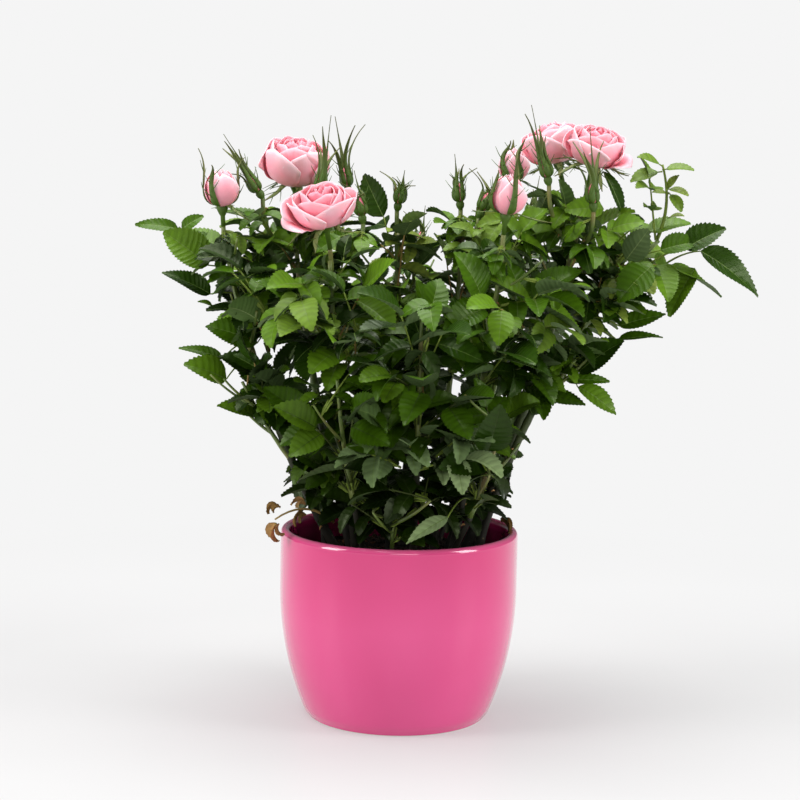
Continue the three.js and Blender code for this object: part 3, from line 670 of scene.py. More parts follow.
def grow_bush():
    """All masses of foliage: first what the solids have, then the finer growth between it."""
    masses = []
    for number, given in enumerate(SHOOTS):
        masses.append(start_mass(given, number, masses))
    for mass in masses:
        grow_twigs(mass)
        set_starts(mass)
    for mass in masses:
        grow_reach(mass)
    grow_in_turns(masses, "leaves", LEAF, room, 1)
    for mass in masses:
        mass["coarse"] = len(mass["leaves"])
        grow_fine_twigs(mass)
        set_starts(mass)
    grow_in_turns(masses, "fine_leaves", FINE_LEAF, fine_room, 2)
    for mass in masses:
        grow_upper_leaves(mass)
        low = mass["space"][0][2] < LOW_HEIGHT
        for number in range(LOW_LEAVES if low else mass["leaf_count"] // SMALL_SHARE):
            grow_leaf(mass, seed_of(mass, "small_leaves", number), SMALL_LEAF, fine_room, 0)
    return masses


masses = grow_bush()

# ---- Meshes -----------------------------------------------------------------------------------

MM = 0.001


class Shape:
    """Points and faces gathered into one mesh.

    Each face has the number of its look, and each point a fade from 0 to 1 that its look reads.
    """

    def __init__(self):
        self.points, self.faces, self.looks, self.fades, self.count = [], [], [], [], 0

    def add(self, points, faces, look=0, fade=None):
        faces = np.asarray(faces)
        self.points.append(points)
        self.faces += (faces + self.count).tolist()
        self.looks.append(np.broadcast_to(look, len(faces)))
        self.fades.append(np.zeros(len(points)) if fade is None else fade)
        self.count += len(points)


def add_piece(name, shape, looks, slot, *nodes):
    """Makes a shape into a piece that stands for CAD nodes and rides on the one body."""
    mesh = bpy.data.meshes.new(name)
    mesh.from_pydata((np.concatenate(shape.points) * MM).tolist(), [], shape.faces)
    mesh.polygons.foreach_set("material_index", np.concatenate(shape.looks).astype(np.int32))
    mesh.polygons.foreach_set("use_smooth", np.ones(len(mesh.polygons), bool))
    fade = mesh.attributes.new("fade", "FLOAT", "POINT")
    fade.data.foreach_set("value", np.concatenate(shape.fades).astype(np.float32))
    for look in looks:
        mesh.materials.append(look)
    piece = bpy.data.objects.new(name, mesh)
    bpy.context.scene.collection.objects.link(piece)
    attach(piece, "root")
    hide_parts(*nodes)


TURNED_OVER = [0, 3, 2, 1]


def grid_faces(rows, columns, closed=False):
    """Quads between the points of a grid. closed joins the end of each row to its start."""
    i = np.arange(rows - 1)[:, None]
    j = np.arange(columns if closed else columns - 1)[None, :]
    a, b = i * columns + j, i * columns + (j + 1) % columns
    return np.stack([a, b, b + columns, a + columns], -1).reshape(-1, 4)


def smooth(t):
    """A share from 0 to 1, eased in and out."""
    return t * t * (3 - 2 * t)


def perpendicular(direction):
    """Two directions square to one, and to each other."""
    other = UP if abs(direction[2]) < 0.6 else np.array([1.0, 0.0, 0.0])
    side = unit(cross(other, direction))
    return side, cross(direction, side)


def tube(shape, points, radii, sides, look=0, relief=None):
    """A round limb through points, closed at both ends.

    radii has a number for each point, and relief a factor for each place around it.
    """
    points = np.asarray(points, float)
    tangents = np.gradient(points, axis=0)
    tangents /= np.sqrt((tangents**2).sum(axis=1))[:, None]
    side = perpendicular(tangents[0])[0]
    angles = angles_around(sides)
    rings = []
    for i, (p, tangent) in enumerate(zip(points, tangents)):
        side = unit(side - (side @ tangent) * tangent)
        other = cross(tangent, side)
        radius = radii[i] * (1 if relief is None else relief[i])
        ring = np.cos(angles)[:, None] * side + np.sin(angles)[:, None] * other
        rings.append(p + np.multiply(ring.T, radius).T)
    count = len(points) * sides
    body = np.concatenate([*rings, points[:1], points[-1:]])
    shape.add(body, grid_faces(len(points), sides, closed=True), look)
    turn = np.arange(sides)
    after = (turn + 1) % sides
    last = count - sides
    caps = [np.stack([np.full(sides, count), after, turn], -1)]
    caps.append(np.stack([np.full(sides, count + 1), last + turn, last + after], -1))
    shape.faces += (np.concatenate(caps) + shape.count - len(body)).tolist()
    shape.looks.append(np.full(2 * sides, look))


def shell(shape, grid, thickness, front=0, back=None, fade=None):
    """A thin closed sheet on both sides of a grid of points."""
    rows, columns = grid.shape[:2]
    normals = np.cross(np.gradient(grid, axis=1), np.gradient(grid, axis=0))
    normals /= np.maximum(np.sqrt((normals**2).sum(axis=-1)), 1e-9)[..., None]
    points = np.concatenate([
        (grid + normals * thickness / 2).reshape(-1, 3),
        (grid - normals * thickness / 2).reshape(-1, 3),
    ])
    quads = grid_faces(rows, columns)
    size = rows * columns
    index = np.arange(size).reshape(rows, columns)
    edge = np.concatenate([index[0, :-1], index[:-1, -1], index[-1, :0:-1], index[:0:-1, 0]])
    after = np.roll(edge, -1)
    rim = np.stack([after, edge, edge + size, after + size], -1)
    back = front if back is None else back
    looks = np.concatenate([
        np.full(len(quads), front), np.full(len(quads), back), np.full(len(rim), front)
    ])
    faces = np.concatenate([quads, quads[:, TURNED_OVER] + size, rim])
    shape.add(points, faces, looks, None if fade is None else np.tile(fade.ravel(), 2))


def bezier(controls, t):
    """Points of a Bezier curve of any number of control points."""
    t = np.asarray(t, float)
    degree = len(controls) - 1
    return sum(
        math.comb(degree, i) * ((1 - t) ** (degree - i) * t**i)[..., None] * np.asarray(c, float)
        for i, c in enumerate(controls)
    )


# ---- Looks ------------------------------------------------------------------------------------


def srgb(red, green, blue):
    """A colour of 0 to 255 each as Blender's linear numbers."""
    def linear(value):
        value /= 255
        return value / 12.92 if value <= 0.04045 else ((value + 0.055) / 1.055) ** 2.4

    return (linear(red), linear(green), linear(blue), 1.0)


WHITE = (1.0, 1.0, 1.0, 1.0)


def scaled(colour, factor):
    return tuple(min(1.0, c * factor) for c in colour[:3]) + (1.0,)


class Look:
    """A node material that is being put together."""

    def __init__(self, name, roughness, specular=0.5, coat=0.0, coat_roughness=0.05):
        self.material = bpy.data.materials.new(name)
        self.material.use_nodes = True
        self.nodes = self.material.node_tree.nodes
        self.links = self.material.node_tree.links
        self.surface = self.nodes["Principled BSDF"]
        self.surface.inputs["Roughness"].default_value = roughness
        self.surface.inputs["Specular IOR Level"].default_value = specular
        self.surface.inputs["Coat Weight"].default_value = coat
        self.surface.inputs["Coat Roughness"].default_value = coat_roughness
        self.place = self.nodes.new("ShaderNodeTexCoord").outputs["Object"]

    def noise(self, scale, detail=3.0, distortion=0.0, stretch=None):
        node = self.nodes.new("ShaderNodeTexNoise")
        node.inputs["Scale"].default_value = scale
        node.inputs["Detail"].default_value = detail
        node.inputs["Distortion"].default_value = distortion
        place = self.place
        if stretch:
            mapping = self.nodes.new("ShaderNodeMapping")
            mapping.inputs["Scale"].default_value = stretch
            self.links.new(place, mapping.inputs["Vector"])
            place = mapping.outputs["Vector"]
        self.links.new(place, node.inputs["Vector"])
        return node.outputs["Fac"]

    def spots(self, scale):
        node = self.nodes.new("ShaderNodeTexVoronoi")
        node.inputs["Scale"].default_value = scale
        self.links.new(self.place, node.inputs["Vector"])
        return node.outputs["Distance"]

    def axis(self, name):
        """The X, the Y or the Z of a place, in metres."""
        node = self.nodes.new("ShaderNodeSeparateXYZ")
        self.links.new(self.place, node.inputs["Vector"])
        return node.outputs[name]

    def fade(self):
        """The number that each point of a piece has for its look."""
        node = self.nodes.new("ShaderNodeAttribute")
        node.attribute_name = "fade"
        return node.outputs["Fac"]

    def ramp(self, value, *stops):
        """Colours, or greys for bare numbers, at stops (position, colour) of a value."""
        node = self.nodes.new("ShaderNodeValToRGB")
        elements = node.color_ramp.elements
        while len(elements) < len(stops):
            elements.new(0.5)
        for element, (position, colour) in zip(elements, stops):
            element.position = position
            grey = isinstance(colour, (int, float))
            element.color = (colour, colour, colour, 1) if grey else colour
        self.links.new(value, node.inputs["Fac"])
        return node.outputs["Color"]

    def mottled(self, scale, colour, variation):
        """A colour that is darker and lighter in patches."""
        dark, light = scaled(colour, 1 - variation), scaled(colour, 1 + variation)
        return self.ramp(self.noise(scale), (0.3, dark), (0.7, light))

    def span(self, value, low, high, to_low=0.0, to_high=1.0):
        """A value between low and high, stretched to lie between two other numbers."""
        node = self.nodes.new("ShaderNodeMapRange")
        for name, number in zip(
            ("From Min", "From Max", "To Min", "To Max"), (low, high, to_low, to_high)
        ):
            node.inputs[name].default_value = number
        self.links.new(value, node.inputs["Value"])
        return node.outputs["Result"]

    def mix(self, share, first, second, blend="MIX"):
        """Two colours mixed. Each argument is a number, a colour or a socket."""
        node = self.nodes.new("ShaderNodeMix")
        node.data_type = "RGBA"
        node.blend_type = blend
        sockets = (node.inputs[0], node.inputs[6], node.inputs[7])
        for socket, value in zip(sockets, (share, first, second)):
            if isinstance(value, (int, float, tuple)):
                socket.default_value = value
            else:
                self.links.new(value, socket)
        return node.outputs[2]

    def colour(self, value):
        self.links.new(value, self.surface.inputs["Base Color"])

    def rough(self, value):
        self.links.new(value, self.surface.inputs["Roughness"])

    def bump(self, value, strength, distance):
        """Relief of a distance in metres, on top of what there is."""
        node = self.nodes.new("ShaderNodeBump")
        node.inputs["Strength"].default_value = strength
        node.inputs["Distance"].default_value = distance
        self.links.new(value, node.inputs["Height"])
        before = self.surface.inputs["Normal"]
        if before.is_linked:
            self.links.new(before.links[0].from_socket, node.inputs["Normal"])
        self.links.new(node.outputs["Normal"], before)


LEAF_SHEEN = (0.84, 1.0, 0.58, 1.0)
VEIN_PALENESS = 1.9
VEIN_SHARE = 0.3


def leaf_look(name, colour, roughness, variation=0.16, specular=0.26):
    """A blade's or a stalk's look, paler along the side veins."""
    look = Look(name, roughness, specular=specular)
    look.surface.inputs["Specular Tint"].default_value = LEAF_SHEEN
    vein = look.span(look.fade(), 0, 1, 0, VEIN_SHARE)
    tone = look.mottled(160, colour, variation)
    look.colour(look.mix(vein, tone, scaled(colour, VEIN_PALENESS)))
    look.rough(look.span(look.noise(420), 0.3, 0.7, roughness - 0.06, roughness + 0.06))
    look.bump(look.noise(900, detail=2.0), strength=0.15, distance=0.0004)
    return look.material


TOP_COLOURS = {
    "deep": srgb(18, 36, 3), "dark": srgb(33, 58, 4), "middle": srgb(56, 87, 7),
    "green": srgb(78, 110, 18), "fresh": srgb(90, 116, 34), "young": srgb(114, 132, 50),
}
TOPS = [
    leaf_look(f"leaf_{name}", colour, 0.3 + 0.03 * i)
    for i, (name, colour) in enumerate(TOP_COLOURS.items())
]
UNDERS = [
    leaf_look("underside_grey", srgb(92, 112, 70), 0.62),
    leaf_look("underside_green", srgb(76, 100, 50), 0.6),
    leaf_look("underside_pale", srgb(116, 134, 90), 0.65),
]
RIB = leaf_look("midrib", srgb(92, 114, 56), 0.45, 0.1)
UNDER_RIB = leaf_look("underside_rib", srgb(134, 150, 96), 0.55, 0.08)
STALK = leaf_look("leaf_stalk", srgb(108, 126, 50), 0.45)
STALK_TAN = leaf_look("leaf_stalk_tan", srgb(146, 122, 72), 0.5)
DEAD = leaf_look("leaf_dead", srgb(112, 84, 46), 0.75, 0.4)
DEAD_PALE = leaf_look("leaf_dead_pale", srgb(160, 124, 80), 0.8, 0.3)
# Leaves low in the crown are darker, in bands of painted shade. Each has its top in millimetres and
# its share of light, and each of its looks stands for two of the top looks.
SHADES = ((152, 0.18), (188, 0.4), (226, 0.7))
SHADED_COLOURS = ("dark", "middle", "green")
SHADED = [
    leaf_look(f"leaf_{name}_below_{top}", scaled(TOP_COLOURS[name], share), 0.34)
    for top, share in SHADES for name in SHADED_COLOURS
]
SHADED_UNDER = leaf_look("underside_shaded", srgb(52, 68, 36), 0.62)
SHADED_RIB = leaf_look("midrib_shaded", srgb(44, 58, 26), 0.5, 0.1)
SHADED_STALK = leaf_look("leaf_stalk_shaded", srgb(58, 68, 30), 0.5)
LEAF_LOOKS = [
    *TOPS, *UNDERS, RIB, UNDER_RIB, STALK, STALK_TAN, DEAD, DEAD_PALE, *SHADED, SHADED_UNDER,
    SHADED_RIB, SHADED_STALK,
]
UNDER_AT = len(TOPS)
RIB_AT = UNDER_AT + len(UNDERS)
UNDER_RIB_AT, STALK_AT, TAN_AT, DEAD_AT, DEAD_PALE_AT, SHADED_AT = range(RIB_AT + 1, RIB_AT + 7)
SHADED_UNDER_AT = SHADED_AT + len(SHADED)
SHADED_RIB_AT, SHADED_STALK_AT = SHADED_UNDER_AT + 1, SHADED_UNDER_AT + 2


def in_shade(look, height):
    """The painted-shade look that stands for a top look at a height above the ground."""
    for band, (top, _) in enumerate(SHADES):
        if height < top and look < UNDER_AT:
            return SHADED_AT + band * len(SHADED_COLOURS) + look // 2
    return look


def sepal_look(name, colour, tip):
    """A sepal's look, duller towards its tip."""
    look = Look(name, 0.48, specular=0.3)
    look.colour(look.mix(look.span(look.fade(), 0.45, 1), look.mottled(300, colour, 0.15), tip))
    look.bump(look.noise(800, detail=2.0), strength=0.15, distance=0.0004)
    return look.material


SEPAL = sepal_look("sepal", srgb(68, 94, 28), srgb(74, 76, 32))
SEPAL_INNER = sepal_look("sepal_inner", srgb(122, 142, 84), srgb(96, 96, 48))


def stem_look():
    """The green of stems and twigs, with a red blush in places."""
    look = Look("green_stem", 0.42)
    base = look.ramp(
        look.noise(90, detail=4.0), (0.3, srgb(72, 88, 36)), (0.5, srgb(96, 116, 50)),
        (0.72, srgb(122, 132, 70)),
    )
    blush = look.ramp(look.noise(45, detail=2.0), (0.5, 0.0), (0.75, 0.5))
    look.colour(look.mix(blush, base, srgb(122, 72, 48)))
    look.bump(look.noise(700), strength=0.25, distance=0.0005)
    return look.material


def bark_look():
    """A cane's bark: brown at the foot and green above, with streaks and pale scars. The foot is
    also made very dark as painted shade low in the crown.
    """
    look = Look("cane_bark", 0.6, specular=0.35)
    rise = look.span(look.axis("Z"), 0.1, 0.2)
    # Dark at the foot: partly woody brown bark, partly painted shade low in the crown.
    base = look.ramp(
        rise, (0.0, srgb(28, 23, 16)), (0.5, srgb(36, 38, 19)), (1.0, srgb(70, 88, 35))
    )
    fibres = look.noise(60, detail=5.0, distortion=0.4, stretch=(1, 1, 0.22))
    streaks = look.ramp(fibres, (0.35, 0.62), (0.65, 1.15))
    tinted = look.mix(1.0, base, streaks, "MULTIPLY")
    scars = look.ramp(look.spots(190), (0.0, 0.55), (0.14, 0.0))
    look.colour(look.mix(scars, tinted, srgb(150, 136, 96)))
    look.rough(look.span(rise, 0, 1, 0.72, 0.46))
    grooves = look.noise(260, detail=5.0, distortion=0.3, stretch=(1, 1, 0.3))
    look.bump(grooves, strength=0.5, distance=0.0008)
    look.bump(look.noise(1200), strength=0.2, distance=0.0003)
    return look.material


def petal_look(name, deep, pale):
    """A petal's look, deep at its foot and pale at its edge."""
    look = Look(name, 0.46, specular=0.35)
    tone = look.ramp(look.fade(), (0.0, deep), (0.5, scaled(deep, 1.12)), (0.92, pale))
    mottle = look.ramp(look.noise(240), (0.3, 0.95), (0.7, 1.0))
    look.colour(look.mix(1.0, tone, mottle, "MULTIPLY"))
    creases = look.noise(500, stretch=(1, 1, 0.25))
    look.bump(creases, strength=0.18, distance=0.0005)
    look.surface.inputs["Subsurface Weight"].default_value = 0.22
    look.surface.inputs["Subsurface Radius"].default_value = (1.0, 0.45, 0.4)
    look.surface.inputs["Subsurface Scale"].default_value = 0.002
    return look.material


PETALS = [
    petal_look("petal_deep", srgb(226, 108, 130), srgb(242, 168, 182)),
    petal_look("petal_rose", srgb(234, 130, 148), srgb(245, 186, 196)),
    petal_look("petal_pale", srgb(239, 154, 168), srgb(248, 206, 214)),
]
GREEN_STEM = stem_look()
PRICKLE = leaf_look("prickle", srgb(150, 112, 74), 0.45)

# Heights in metres between which the painted shade on the pot's outside, the painted shade inside
# its mouth and its paler lip change.
OUTSIDE_HEIGHTS = (0.01, 0.108)
MOUTH_HEIGHTS = (0.094, 0.1105)
LIP_HEIGHTS = (0.1085, 0.1122)
# Painted shade: the outside is darker and deeper pink towards the top, where less of the pale floor
# is reflected.
TOP_PAINTED_SHADE = (0.9, 0.56, 0.78, 1.0)


def glaze_look(name, low, mouth):
    """Pink glaze, paler on the lip, with painted shade: darker towards the top of the outside and
    inside the mouth. low and mouth are its shares of light inside the mouth.
    """
    look = Look(name, 0.12, specular=0.55, coat=0.7, coat_roughness=0.04)
    pools = look.noise(14, detail=2.0, distortion=0.3)
    pooled = look.ramp(pools, (0.35, srgb(219, 58, 128)), (0.65, srgb(223, 64, 134)))
    specks = look.ramp(look.spots(110), (0.0, 0.3), (0.035, 0.0))
    outside = look.span(look.axis("Z"), *OUTSIDE_HEIGHTS)
    painted_top_shade = look.ramp(outside, (0.0, WHITE), (0.55, WHITE), (1.0, TOP_PAINTED_SHADE))
    graded = look.mix(1.0, pooled, painted_top_shade, "MULTIPLY")
    # Painted shade inside the pot's mouth, darker towards the compost.
    inside = look.span(look.axis("Z"), *MOUTH_HEIGHTS)
    deep = look.ramp(inside, (0.0, low), (0.7, mouth), (1.0, 1.0))
    graded = look.mix(1.0, graded, deep, "MULTIPLY")
    worn = look.mix(specks, graded, srgb(190, 60, 104))
    at_lip = look.span(look.axis("Z"), *LIP_HEIGHTS)
    lip = look.ramp(at_lip, (0.0, 0.0), (1.0, 0.55))
    look.colour(look.mix(lip, worn, srgb(226, 120, 158)))
    look.rough(look.span(look.noise(30), 0.3, 0.7, 0.09, 0.16))
    look.bump(look.noise(24, detail=1.0), strength=0.06, distance=0.002)
    return look.material


def clay_look():
    """The unglazed foot ring."""
    look = Look("bare_clay", 0.85, specular=0.3)
    grains = look.noise(180, detail=4.0)
    look.colour(look.ramp(grains, (0.3, srgb(196, 184, 168)), (0.7, srgb(218, 208, 194))))
    look.bump(look.noise(900), strength=0.4, distance=0.0004)
    return look.material


def compost_look(name, dark, light):
    """A crumbly look between two colours."""
    look = Look(name, 0.92, specular=0.2)
    look.colour(look.ramp(look.noise(280, detail=6.0), (0.35, dark), (0.7, light)))
    look.bump(look.noise(700, detail=6.0), strength=0.8, distance=0.001)
    return look.material


# ---- Leaves as meshes -------------------------------------------------------------------------

# The teeth on each side of a leaflet, by the length in millimetres that it is longer than.
TEETH = {29: 17, 22: 12, 0: 8}
# A blade's width at the cuts between its teeth, beside its width at their tips.
NOTCH = {"many": 0.9, "few": 0.93, "many_from": 10}
LEAF_SCALE = {"coarse": 1.24, "fine": 1.12}
# Places across a blade, from edge to edge, with the midrib between the middle two.
COLUMNS = np.array([-1, -0.55, -0.05, 0.05, 0.55, 1.0])
# The first four are shares of a blade's length and tooth is in rows. The rest is in millimetres.
BLADE = {
    "width": 0.7, "slant": 0.15, "wave": 0.035, "quilting": 0.016, "tooth": 0.7,
    "half_thickness": 0.12, "rib_drop": 0.22, "rib": 0.07, "rib_foot": 0.2,
}


def blade_outline(t):
    """Half of a blade's width at a share of its length, beside its widest."""
    return np.clip(t, 0, 1) ** 0.55 * np.clip(1 - t, 0, 1) ** 0.88 / 0.393


def blade_grid(teeth):
    """Shares along and across a toothed blade, whose rows slant forward as its side veins do."""
    rows = 2 * teeth + 1
    t = np.linspace(0, 1, rows)[:, None] + np.zeros(len(COLUMNS))
    across = np.abs(COLUMNS)
    at_edge = across > 0.99
    tooth = (np.arange(rows) % 2 == 1)[:, None]
    along = t - BLADE["slant"] * (1 - across) * np.sin(math.pi * t)
    along = np.where(at_edge & tooth, t + BLADE["tooth"] / (rows - 1), along)
    notch = NOTCH["many" if teeth > NOTCH["many_from"] else "few"]
    wide = np.maximum(blade_outline(t) * np.where(at_edge & ~tooth, notch, 1.0), 0.02)
    vein = (np.arange(rows) % 3 == 0)[:, None]
    inside = 4 * across * (1 - across) * np.sin(math.pi * t)
    quilt = np.where(vein, -1.0, 0.6) * inside
    pale = np.where(vein, 1.0, 0.0) * np.where(at_edge, 0.3, 1.0)
    quads = grid_faces(rows, len(COLUMNS))
    is_rib = np.tile(np.arange(len(COLUMNS) - 1) == 2, rows - 1)
    return along, wide, quilt, pale.ravel(), quads, is_rib


BLADES = {teeth: blade_grid(teeth) for teeth in TEETH.values()}


def blade(shape, leaflet, curl, top, under, width=BLADE["width"]):
    """One leaflet: a toothed blade, folded along its midrib and bent down along its length.

    curl has the angles of its fold, bend and twist, the size of its waves and their phase.
    """
    length = leaflet["length"]
    direction, side, normal = leaflet["direction"], leaflet["side"], leaflet["normal"]
    fold, bend, twist, wave, phase = curl
    teeth = next(number for longer_than, number in TEETH.items() if length > longer_than)
    along, wide, quilt, pale, quads, is_rib = BLADES[teeth]
    across = np.abs(COLUMNS)
    inner = across < 0.1
    x = COLUMNS * wide * length * width / 2
    rib_half = BLADE["rib"] + BLADE["rib_foot"] * (1 - along)
    x = np.where(inner, np.sign(COLUMNS) * rib_half, x)
    height = np.abs(x) * math.sin(fold) + x * np.sin(twist * along)
    waves = np.sin(6 * along + phase + 2 * np.sign(COLUMNS)) * across
    height += wave * length * BLADE["wave"] * waves
    height += BLADE["quilting"] * length * quilt
    run = length * np.sin(bend * along) / bend
    drop = length * (1 - np.cos(bend * along)) / bend
    half = BLADE["half_thickness"]
    for lift, look, rib_drop in ((half, top, 0), (-half, under, -BLADE["rib_drop"])):
        away = height + np.where(across < 0.99, lift, 0) + np.where(inner, rib_drop, 0)
        points = (
            leaflet["root"]
            + (run + away * np.sin(bend * along))[..., None] * direction
            + (x * math.cos(fold))[..., None] * side
            + (away * np.cos(bend * along) - drop)[..., None] * normal
        ).reshape(-1, 3)
        rib = SHADED_RIB_AT if top >= SHADED_AT else (RIB_AT if lift > 0 else UNDER_RIB_AT)
        faces = quads if lift > 0 else quads[:, TURNED_OVER]
        shape.add(points, faces, np.where(is_rib, rib, look), pale)


def pick(random, weights):
    """The number of one of several things, by their weights."""
    rest = random() * sum(weights)
    for number, weight in enumerate(weights):
        rest -= weight
        if rest < 0:
            return number
    return len(weights) - 1


# Leaves above this height in millimetres have this look.
YOUNG_HEIGHT, YOUNG_LOOK = 322, 4
# How common each top and each underside is: inside the crown and from OUTER_FROM of its radius on.
# Inside, the dark and deep tops are more common, partly for older leaves and partly as painted
# shade.
OUTER_FROM = 0.7
INNER_TOPS = (0.5, 0.32, 0.14, 0.04, 0, 0)
OUTER_TOPS = (0.04, 0.16, 0.32, 0.33, 0.12, 0.03)
UNDER_WEIGHTS = (0.4, 0.4, 0.2)
# The share of leaf stalks that are green. The others are tan.
GREEN_STALKS = 0.8


def stalk_tube(shape, curve, low, high, sides, look, rings=7, end=1):
    """A tube along a curve, from one radius at its start to another at its end."""
    shares = np.linspace(0, end, rings)
    tube(shape, curve.points(shares), np.linspace(low, high, rings), sides, look)


# How far most of the crown reaches: a height, and the places of its left and its right side there.
CROWN = np.array([
    (120, -72, 68), (155, -62, 66), (190, -84, 84), (220, -98, 116), (250, -106, 140),
    (280, -122, 164), (310, -116, 150), (345, -106, 120),
])
# The eye that sees those places straight from the front.
EYE_DISTANCE, EYE_HEIGHT = 1300, 188
# How far a leaflet may stand out, how far a leaf may be moved for it, and how much it may shrink.
OUTSIDE, MOST_MOVED = 3, 20
SCALES = (1, 0.94, 0.88, 0.82)
# The bend and the scale that a leaflet is expected to have, before either is drawn.
USUAL_BEND, USUAL_SCALE = 0.7, 0.9


def beyond_crown(leaflet, bend):
    """How far a leaflet's tip stands out of the crown: above 0 to the right, below 0 to the left.

    It is 0 where the tip is inside.
    """
    length = leaflet["length"]
    run, drop = math.sin(bend) / bend, (1 - math.cos(bend)) / bend
    tip = leaflet["root"] + length * (run * leaflet["direction"] - drop * leaflet["normal"])
    near = EYE_DISTANCE / (EYE_DISTANCE + tip[1])
    height = EYE_HEIGHT + (tip[2] - EYE_HEIGHT) * near
    left, right = (np.interp(height, CROWN[:, 0], CROWN[:, i]) for i in (1, 2))
    return max(0, tip[0] * near - right - OUTSIDE) - max(0, left - tip[0] * near - OUTSIDE)


def moved_inside(leaf, scale):
    """The leaf, moved sideways so that its leaflets end near the crown's outline."""
    over = [
        beyond_crown({**leaflet, "length": leaflet["length"] * scale * USUAL_SCALE}, USUAL_BEND)
        for leaflet in leaf["leaflets"]
    ]
    most = max(over, key=abs)
    move = vec((-max(-MOST_MOVED, min(MOST_MOVED, most)), 0, 0))
    curve = leaf["curve"]
    leaflets = [{**leaflet, "root": leaflet["root"] + move} for leaflet in leaf["leaflets"]]
    moved = Curve(curve.start + 0.5 * move, curve.bend + move, curve.end + move)
    return {**leaf, "curve": moved, "leaflets": leaflets}


MOST_FLATTENED = 0.6


def tilted(leaflet, level, roll, pitch):
    """A leaflet turned part of the way to level, then rolled and pitched a little."""
    flat = leaflet["direction"] * vec((1, 1, 1 - MOST_FLATTENED * level))
    direction = unit(flat + pitch * leaflet["normal"])
    face = unit((1 - level) * leaflet["normal"] + level * UP)
    side = unit(cross(face, direction))
    face = cross(direction, side)
    side = math.cos(roll) * side + math.sin(roll) * face
    return {**leaflet, "direction": direction, "side": side, "normal": cross(direction, side)}


# A stipule's length, its thickness, and how far its outer and inner edges spread along it.
STIPULE = {"from": 0.02, "length": 8, "thickness": 0.2}
STIPULE_OUTER = np.array([0.2, 1.5, 1.6, 1.9])[:, None]
STIPULE_INNER = np.array([0.2, 0.5, 0.4, 1.8])[:, None]


def add_stipules(shape, leaf):
    """The two narrow wings at the foot of a leaf's stalk."""
    curve = leaf["curve"]
    end = STIPULE["from"] + STIPULE["length"] / curve.length
    along = curve.points(np.linspace(STIPULE["from"], end, len(STIPULE_OUTER)))
    left = unit(cross(leaf["light"], curve.tangent(0.05)))
    for hand in (1, -1):
        outer = STIPULE_OUTER * hand * left
        inner = STIPULE_INNER * hand * left
        grid = np.stack([along + inner * 0.3, along + (inner + outer) / 2, along + outer], 1)
        shell(shape, grid[:, ::hand], STIPULE["thickness"], STALK_AT)


STALK_RADII = (0.75, 0.42)
# How a leaf's blades lie: how level, how rolled and pitched, how bent, folded and twisted.
LIE = {
    "level": 0.95, "level_power": 0.7, "roll": 0.7, "pitch": 0.5, "bend": 0.25,
    "coarse_bend": 0.6, "fold": 0.16, "fold_spread": 0.45, "twist": 0.6,
}


def leaf_mesh(shape, leaf, mass, random, top=None, scale=1.1):
    """A whole leaf: its stalk, its two stipules and its leaflets."""
    centre, radii = mass["space"]
    leaf = moved_inside(leaf, scale)
    outward = math.sqrt((((leaf["curve"].end - vec(centre)) / vec(radii)) ** 2).sum())
    if top is None:
        top = pick(random, OUTER_TOPS if outward > OUTER_FROM else INNER_TOPS)
    # Painted shade: a leaf low in the crown gets a darker copy of its look.
    top = in_shade(top, leaf["curve"].end[2])
    under = UNDER_AT + pick(random, UNDER_WEIGHTS)
    stalk = STALK_AT if random() < GREEN_STALKS else TAN_AT
    if top >= SHADED_AT:
        under, stalk = SHADED_UNDER_AT, SHADED_STALK_AT
    stalk_tube(shape, leaf["curve"], *STALK_RADII, 5, stalk, end=leaf["stalk_end"])
    add_stipules(shape, leaf)
    level = LIE["level"] * random() ** LIE["level_power"]
    bending = 1 if scale < LEAF_SCALE["coarse"] else LIE["coarse_bend"]
    for leaflet in leaf["leaflets"]:
        roll, pitch = LIE["roll"] * (random() - 0.5), LIE["pitch"] * (random() - 0.5)
        posed = tilted(leaflet, level, roll, pitch)
        bend = bending * (LIE["bend"] + random())
        fold = LIE["fold"] + LIE["fold_spread"] * random()
        curl = (fold, bend, LIE["twist"] * (random() - 0.5), random(), 6 * random())
        for smaller in SCALES:
            sized = {**posed, "length": posed["length"] * scale * smaller}
            if beyond_crown(sized, bend) == 0:
                break
        blade(shape, sized, curl, top, under)


SIDES = {
    "left": ("left_outer", "left_low", "left_back", "low_left"),
    "right": ("right_outer", "right_low", "right_back", "low_right"),
    "middle": ("left_front", "middle", "right_inner", "right_front"),
    "front": ("front_left", "front_middle", "front_right", "low_front"),
    "back": ("back_left", "back_middle", "back_right", "low_back_left", "low_back_right"),
}
by_name = {mass["name"]: mass for mass in masses}

# Leaves that stand out low in front, the pale ones first: start, tip, length of the end leaflet
# and look. A look that is a bare number is that one of TOPS, here and below.
FRONT_LEAVES = (
    ((2, -60, 166), (-22, -82, 198), 27, UNDER_AT + 1),
    ((0, -62, 158), (-34, -86, 172), 22, UNDER_AT),
    ((6, -62, 160), (4, -92, 182), 21, UNDER_AT),
    ((8, -60, 156), (56, -86, 168), 24, UNDER_AT + 2),
    ((20, -58, 164), (46, -84, 186), 20, UNDER_AT),
    ((-30, -40, 150), (-62, -66, 166), 26, 4),
    ((-34, -24, 134), (-66, -42, 142), 22, 3),
    ((-20, -26, 132), (-44, -48, 121), 20, 1),
    ((-8, -34, 124), (-22, -60, 117), 19, 0),
    ((24, -30, 132), (46, -50, 120), 20, 0),
    ((34, -20, 130), (62, -30, 128), 20, 1),
    ((-36, -6, 132), (-60, -12, 124), 19, 0),
    ((10, -28, 130), (16, -58, 128), 20, 1),
    ((38, 0, 134), (64, 8, 128), 19, 0),
)
DROOPING = {"stalk": ((40, -34, 136), (34, -50, 142), (27, -66, 131)), "tip": (-1, -82, 119)}
